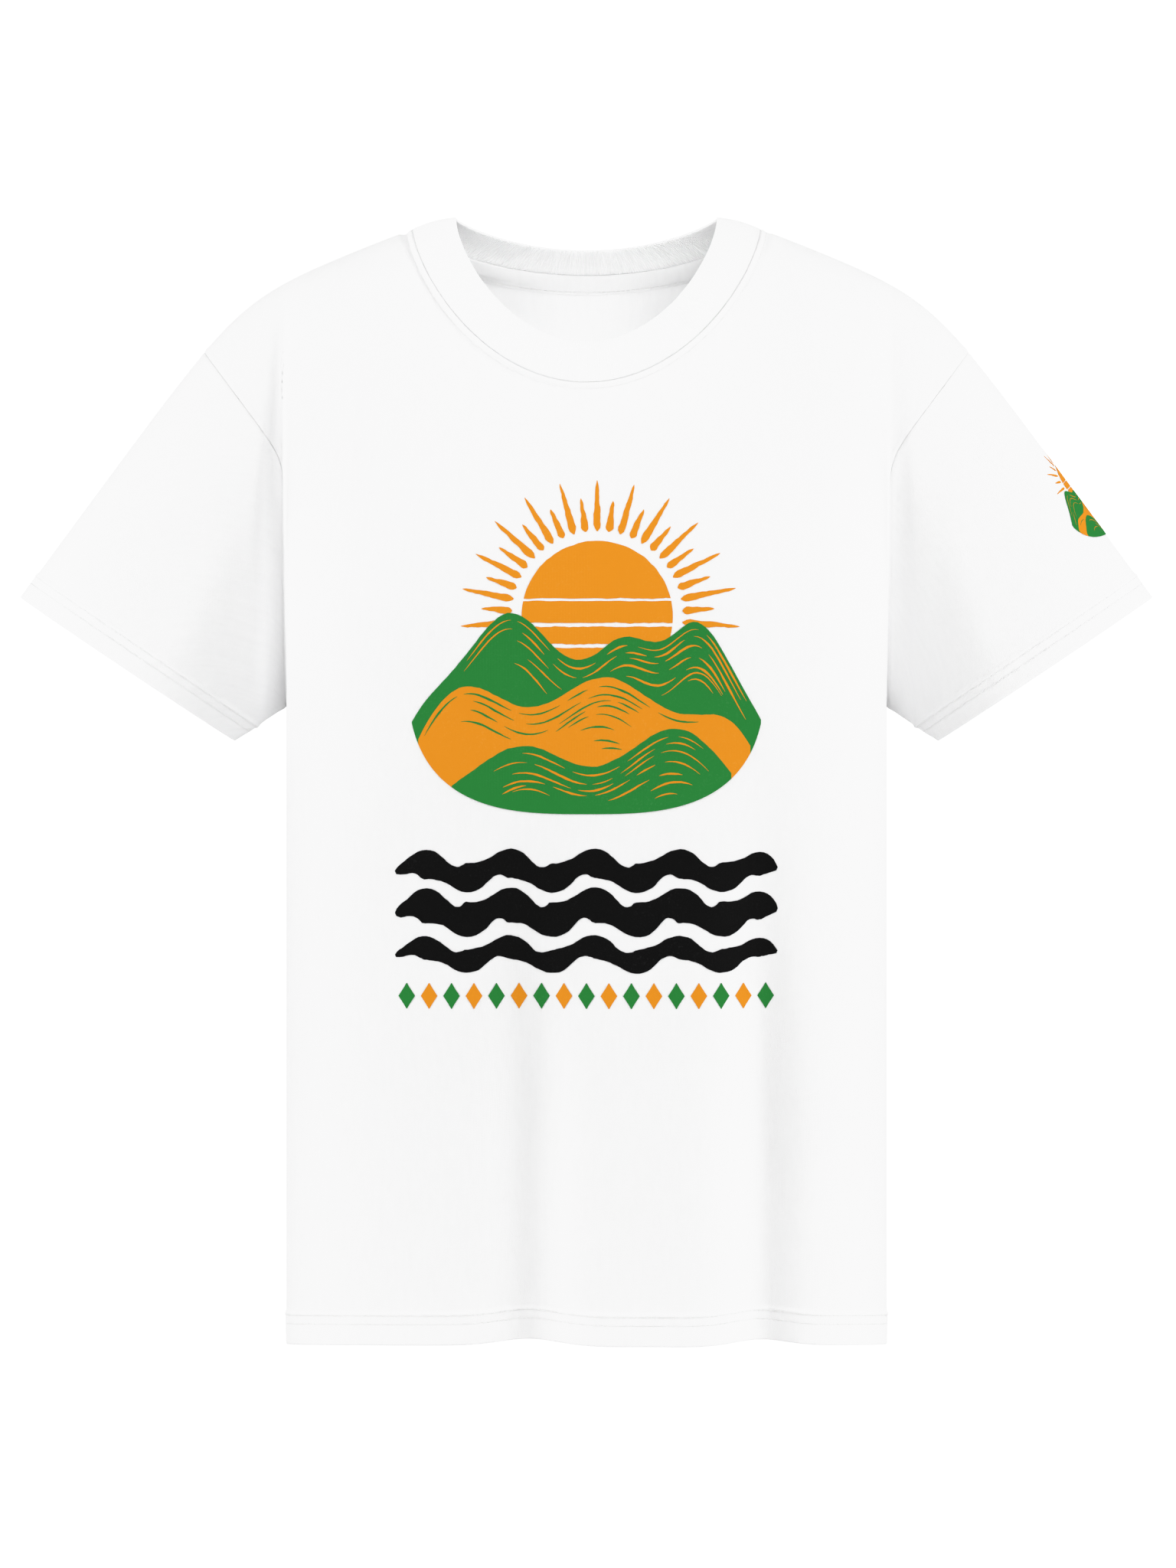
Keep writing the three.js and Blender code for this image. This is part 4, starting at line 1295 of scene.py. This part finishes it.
def cotton(name, base, rough, height_scale, wale=WALE, course=COURSE, reach=LIGHT_REACH):
    nodes = Nodes(name)
    height, place = stitches_of_jersey(nodes, wale, course)
    slub = nodes.noise(260.0, 3.0, place, (1.0, 0.25, 1.0))
    cloud = nodes.noise(9.0, 3.0)
    tint = nodes.remap(slub, 0.3, 0.7, 0.0, 1.0)
    light = tuple(channel * 1.012 for channel in base) + (1.0,)
    dark = tuple(channel * 0.985 for channel in base) + (1.0,)
    colour = nodes.blend_colours(tint, dark, light)
    patchy = nodes.remap(cloud, 0.3, 0.7, 0.0, 0.35)
    warm = (base[0] * 0.985, base[1] * 0.985, base[2] * 0.99, 1.0)
    nodes.put(nodes.blend_colours(patchy, colour, warm), nodes.shader.inputs["Base Color"])
    nodes.put(nodes.remap(slub, 0.3, 0.7, rough - 0.04, rough + 0.04), nodes.shader.inputs["Roughness"])
    fuzz = nodes.bump(nodes.noise(1900.0, 2.0), 0.06 * MM, 0.5)
    nodes.put(nodes.bump(height, height_scale, 0.8, fuzz), nodes.shader.inputs["Normal"])
    nodes.shader.inputs["Specular IOR Level"].default_value = 0.2
    nodes.shader.inputs["Sheen Weight"].default_value = 0.08
    nodes.shader.inputs["Sheen Roughness"].default_value = 0.5
    nodes.shader.inputs["Subsurface Weight"].default_value = 1.0
    nodes.shader.inputs["Subsurface Radius"].default_value = (1.0, 1.0, 1.0)
    nodes.shader.inputs["Subsurface Scale"].default_value = reach
    return nodes


def dress(pieces, material):
    for piece in pieces:
        piece.data.materials.clear()
        piece.data.materials.append(material)


WHITE = (0.93, 0.93, 0.935)
jersey = cotton("white_jersey", WHITE, 0.88, 0.12 * MM)
dress([panels[name].piece for name in panels], jersey.material)
rib = cotton("white_rib", WHITE, 0.86, 0.08 * MM, wale=0.82 * MM, course=0.62 * MM,
             reach=1.8 * MM)
dress([collar_piece], rib.material)
tape = cotton("tape_jersey", WHITE, 0.88, 0.1 * MM, wale=0.8 * MM, reach=0.5 * MM)
dress([tape_piece], tape.material)

# %% Thread and inks
thread = Nodes("white_thread")
twist = thread.add("ShaderNodeTexWave", {"Scale": 900.0, "Distortion": 1.2}, bands_direction="DIAGONAL")
thread.put(thread.bump(twist.outputs["Fac"], 0.05 * MM, 0.7), thread.shader.inputs["Normal"])
thread_tint = thread.remap(thread.noise(300.0), 0.3, 0.7, 0.0, 1.0)
thread.put(thread.blend_colours(thread_tint, (0.92, 0.92, 0.92, 1), (0.95, 0.95, 0.95, 1)),
           thread.shader.inputs["Base Color"])
thread.shader.inputs["Roughness"].default_value = 0.55
dress([hem_thread, neck_thread, tape_thread], thread.material)


def ink(name, colour, thin):
    nodes = Nodes(name)
    height, place = stitches_of_jersey(nodes)
    grain = nodes.noise(700.0, 4.0)
    worn = nodes.remap(nodes.noise(26.0, 5.0), 0.35, 0.75, 0.0, 0.5)
    speckle = nodes.math("MULTIPLY", nodes.remap(grain, 0.55, 0.8, 0.0, 1.0), worn)
    nodes.put(nodes.blend_colours(speckle, colour, thin), nodes.shader.inputs["Base Color"])
    nodes.put(nodes.remap(grain, 0.3, 0.7, 0.65, 0.85), nodes.shader.inputs["Roughness"])
    nodes.put(nodes.bump(height, 0.06 * MM, 0.6, nodes.bump(grain, 0.03 * MM, 0.5)),
              nodes.shader.inputs["Normal"])
    nodes.shader.inputs["Specular IOR Level"].default_value = 0.08
    return nodes.material


def srgb(red, green_part, blue):
    """A colour given as it would be written on a swatch, turned into the light values of a shader."""
    linear = [((part / 255 + 0.055) / 1.055) ** 2.4 for part in (red, green_part, blue)]
    return (*linear, 1.0)


dress([chest_orange, sleeve_orange], ink("orange_ink_film", srgb(222, 143, 30), srgb(232, 168, 78)))
dress([chest_green, sleeve_green], ink("green_ink_film", srgb(40, 128, 56), srgb(80, 150, 90)))
dress([chest_black], ink("black_ink_film", srgb(9, 9, 9), srgb(50, 50, 50)))

# %% [markdown]
# ## Step 14: the camera, the light and the studio
#
# Catalogue clothes are shot from far away with a long lens, so the sides of the shirt stay
# parallel. Soft light comes from everywhere, with a little more from the upper right, from both
# sides, from above and from below. Two weak lamps reach the inside of the neck.
#
# White cloth on a white ground needs a film that tells the two apart. The response curve below
# flattens out just under white, so the shirt stays a shade below the ground behind it. The far
# floor and the middle of the wall glow to make that ground. The rest is pale grey paper, so that
# the shirt also stands out from behind and from above.

# %% The camera
CAMERA_PLACE = (0.001, -5.0, -0.361)
CAMERA_LENS = 180.1
camera_data = bpy.data.cameras.new("camera")
camera_data.lens = CAMERA_LENS
camera_data.sensor_width = 36
camera_data.sensor_fit = "AUTO"
camera = bpy.data.objects.new("camera", camera_data)
camera.location = CAMERA_PLACE
camera.rotation_euler = (radians(90), 0, 0)
bpy.context.scene.collection.objects.link(camera)
bpy.context.scene.camera = camera
print("camera at", CAMERA_PLACE, "lens", CAMERA_LENS)

# %% The response of the film
view = bpy.context.scene.view_settings
view.view_transform = "Standard"
view.use_curve_mapping = True
BRIGHTEST = 1.35
LIGHT_AND_SHOWN = (
    (0.5, 0.5), (0.75, 0.785), (0.86, 0.885), (0.94, 0.932), (1.02, 0.947), (1.15, 0.958),
    (1.25, 0.982),
)
view.curve_mapping.white_level = (BRIGHTEST, BRIGHTEST, BRIGHTEST)
response = view.curve_mapping.curves[3]
for light, shown in LIGHT_AND_SHOWN:
    response.points.new(light / BRIGHTEST, shown)
view.curve_mapping.update()

# %% The lights
AIR_STRENGTH = 0.55
world = bpy.data.worlds.new("studio_air")
bpy.context.scene.world = world
world.use_nodes = True
world.node_tree.nodes["Background"].inputs["Color"].default_value = (1.0, 1.0, 1.0, 1.0)
world.node_tree.nodes["Background"].inputs["Strength"].default_value = AIR_STRENGTH


def softbox(name, place, target, size, power, spread=180):
    data = bpy.data.lights.new(name, "AREA")
    data.shape = "SQUARE"
    data.size = size
    data.energy = power
    data.spread = radians(spread)
    light = bpy.data.objects.new(name, data)
    light.location = place
    aim = np.array(target) - np.array(place)
    yaw = np.arctan2(aim[0], -aim[1])
    light.rotation_euler = (pi / 2 - np.arctan2(-aim[2], hypot(aim[0], aim[1])), 0, yaw + pi)
    bpy.context.scene.collection.objects.link(light)
    print(name, power, "W")


MIDDLE_OF_SHIRT = (0, 0, -0.35)
softbox("key_light", (1.5, -4.0, 1.3), MIDDLE_OF_SHIRT, 1.8, 33.5)
softbox("left_side_light", (-2.6, -0.9, 0.1), MIDDLE_OF_SHIRT, 1.5, 35)
softbox("right_side_light", (2.6, -0.9, 0.1), MIDDLE_OF_SHIRT, 1.5, 32.5)
softbox("top_light", (0.0, -1.6, 2.4), (0, 0, -0.1), 1.8, 12)
softbox("low_light", (0.0, -2.4, -1.25), (0, 0, -0.5), 1.8, 11)
softbox("inside_light", (0, -0.035, -0.19), (0, 0.085, -0.03), 0.1, 0.05, spread=90)
softbox("neck_light", (0, -0.4, 0.24), (0, 0.08, -0.04), 0.2, 0.028, spread=50)

# %% The floor and the wall
FLOOR_LEVEL = -1.3
WALL_Y = 10.0
WALL_TOP = 8.0
SWEEP_HALF_WIDTH = 14.0
SWEEP_RADIUS = 1.6
GLOW_STARTS = (3.2, 4.3)
GLOW_ENDS = (2.4, 4.8)
GLOW_STRENGTH = 1.05
PAPER_TINTS = ((0.6, 0.6, 0.6, 1), (0.63, 0.63, 0.63, 1))
profile = [(-WALL_Y, FLOOR_LEVEL), (0.5, FLOOR_LEVEL), (WALL_Y - SWEEP_RADIUS, FLOOR_LEVEL)]
for angle in np.linspace(0, pi / 2, 16)[1:]:
    profile.append((WALL_Y - SWEEP_RADIUS + SWEEP_RADIUS * np.sin(angle),
                    FLOOR_LEVEL + SWEEP_RADIUS * (1 - np.cos(angle))))
profile.append((WALL_Y, WALL_TOP))
edges = (-SWEEP_HALF_WIDTH, SWEEP_HALF_WIDTH)
sweep_points = np.array([[(x, y, z) for x in edges] for y, z in profile])
sweep_faces = [[2 * k, 2 * k + 1, 2 * k + 3, 2 * k + 2] for k in range(len(profile) - 1)]
sweep = make_mesh("studio_sweep", sweep_points, sweep_faces)
paper = Nodes("studio_paper")
paper_tint = paper.remap(paper.noise(3.0), 0.3, 0.7, 0.0, 1.0)
paper.put(paper.blend_colours(paper_tint, *PAPER_TINTS), paper.shader.inputs["Base Color"])
paper.shader.inputs["Roughness"].default_value = 1.0
paper.shader.inputs["Emission Color"].default_value = (1.0, 1.0, 1.0, 1.0)
place = paper.add("ShaderNodeSeparateXYZ", {0: paper.add("ShaderNodeTexCoord").outputs["Object"]})
far = paper.remap(place.outputs["Y"], *GLOW_STARTS, 0.0, GLOW_STRENGTH)
sideways = paper.math("ABSOLUTE", place.outputs["X"])
middle = paper.remap(sideways, *GLOW_ENDS, 1.0, 0.0)
paper.put(paper.math("MULTIPLY", far, middle), paper.shader.inputs["Emission Strength"])
dress([sweep], paper.material)
print("floor at", FLOOR_LEVEL, "wall at", WALL_Y)
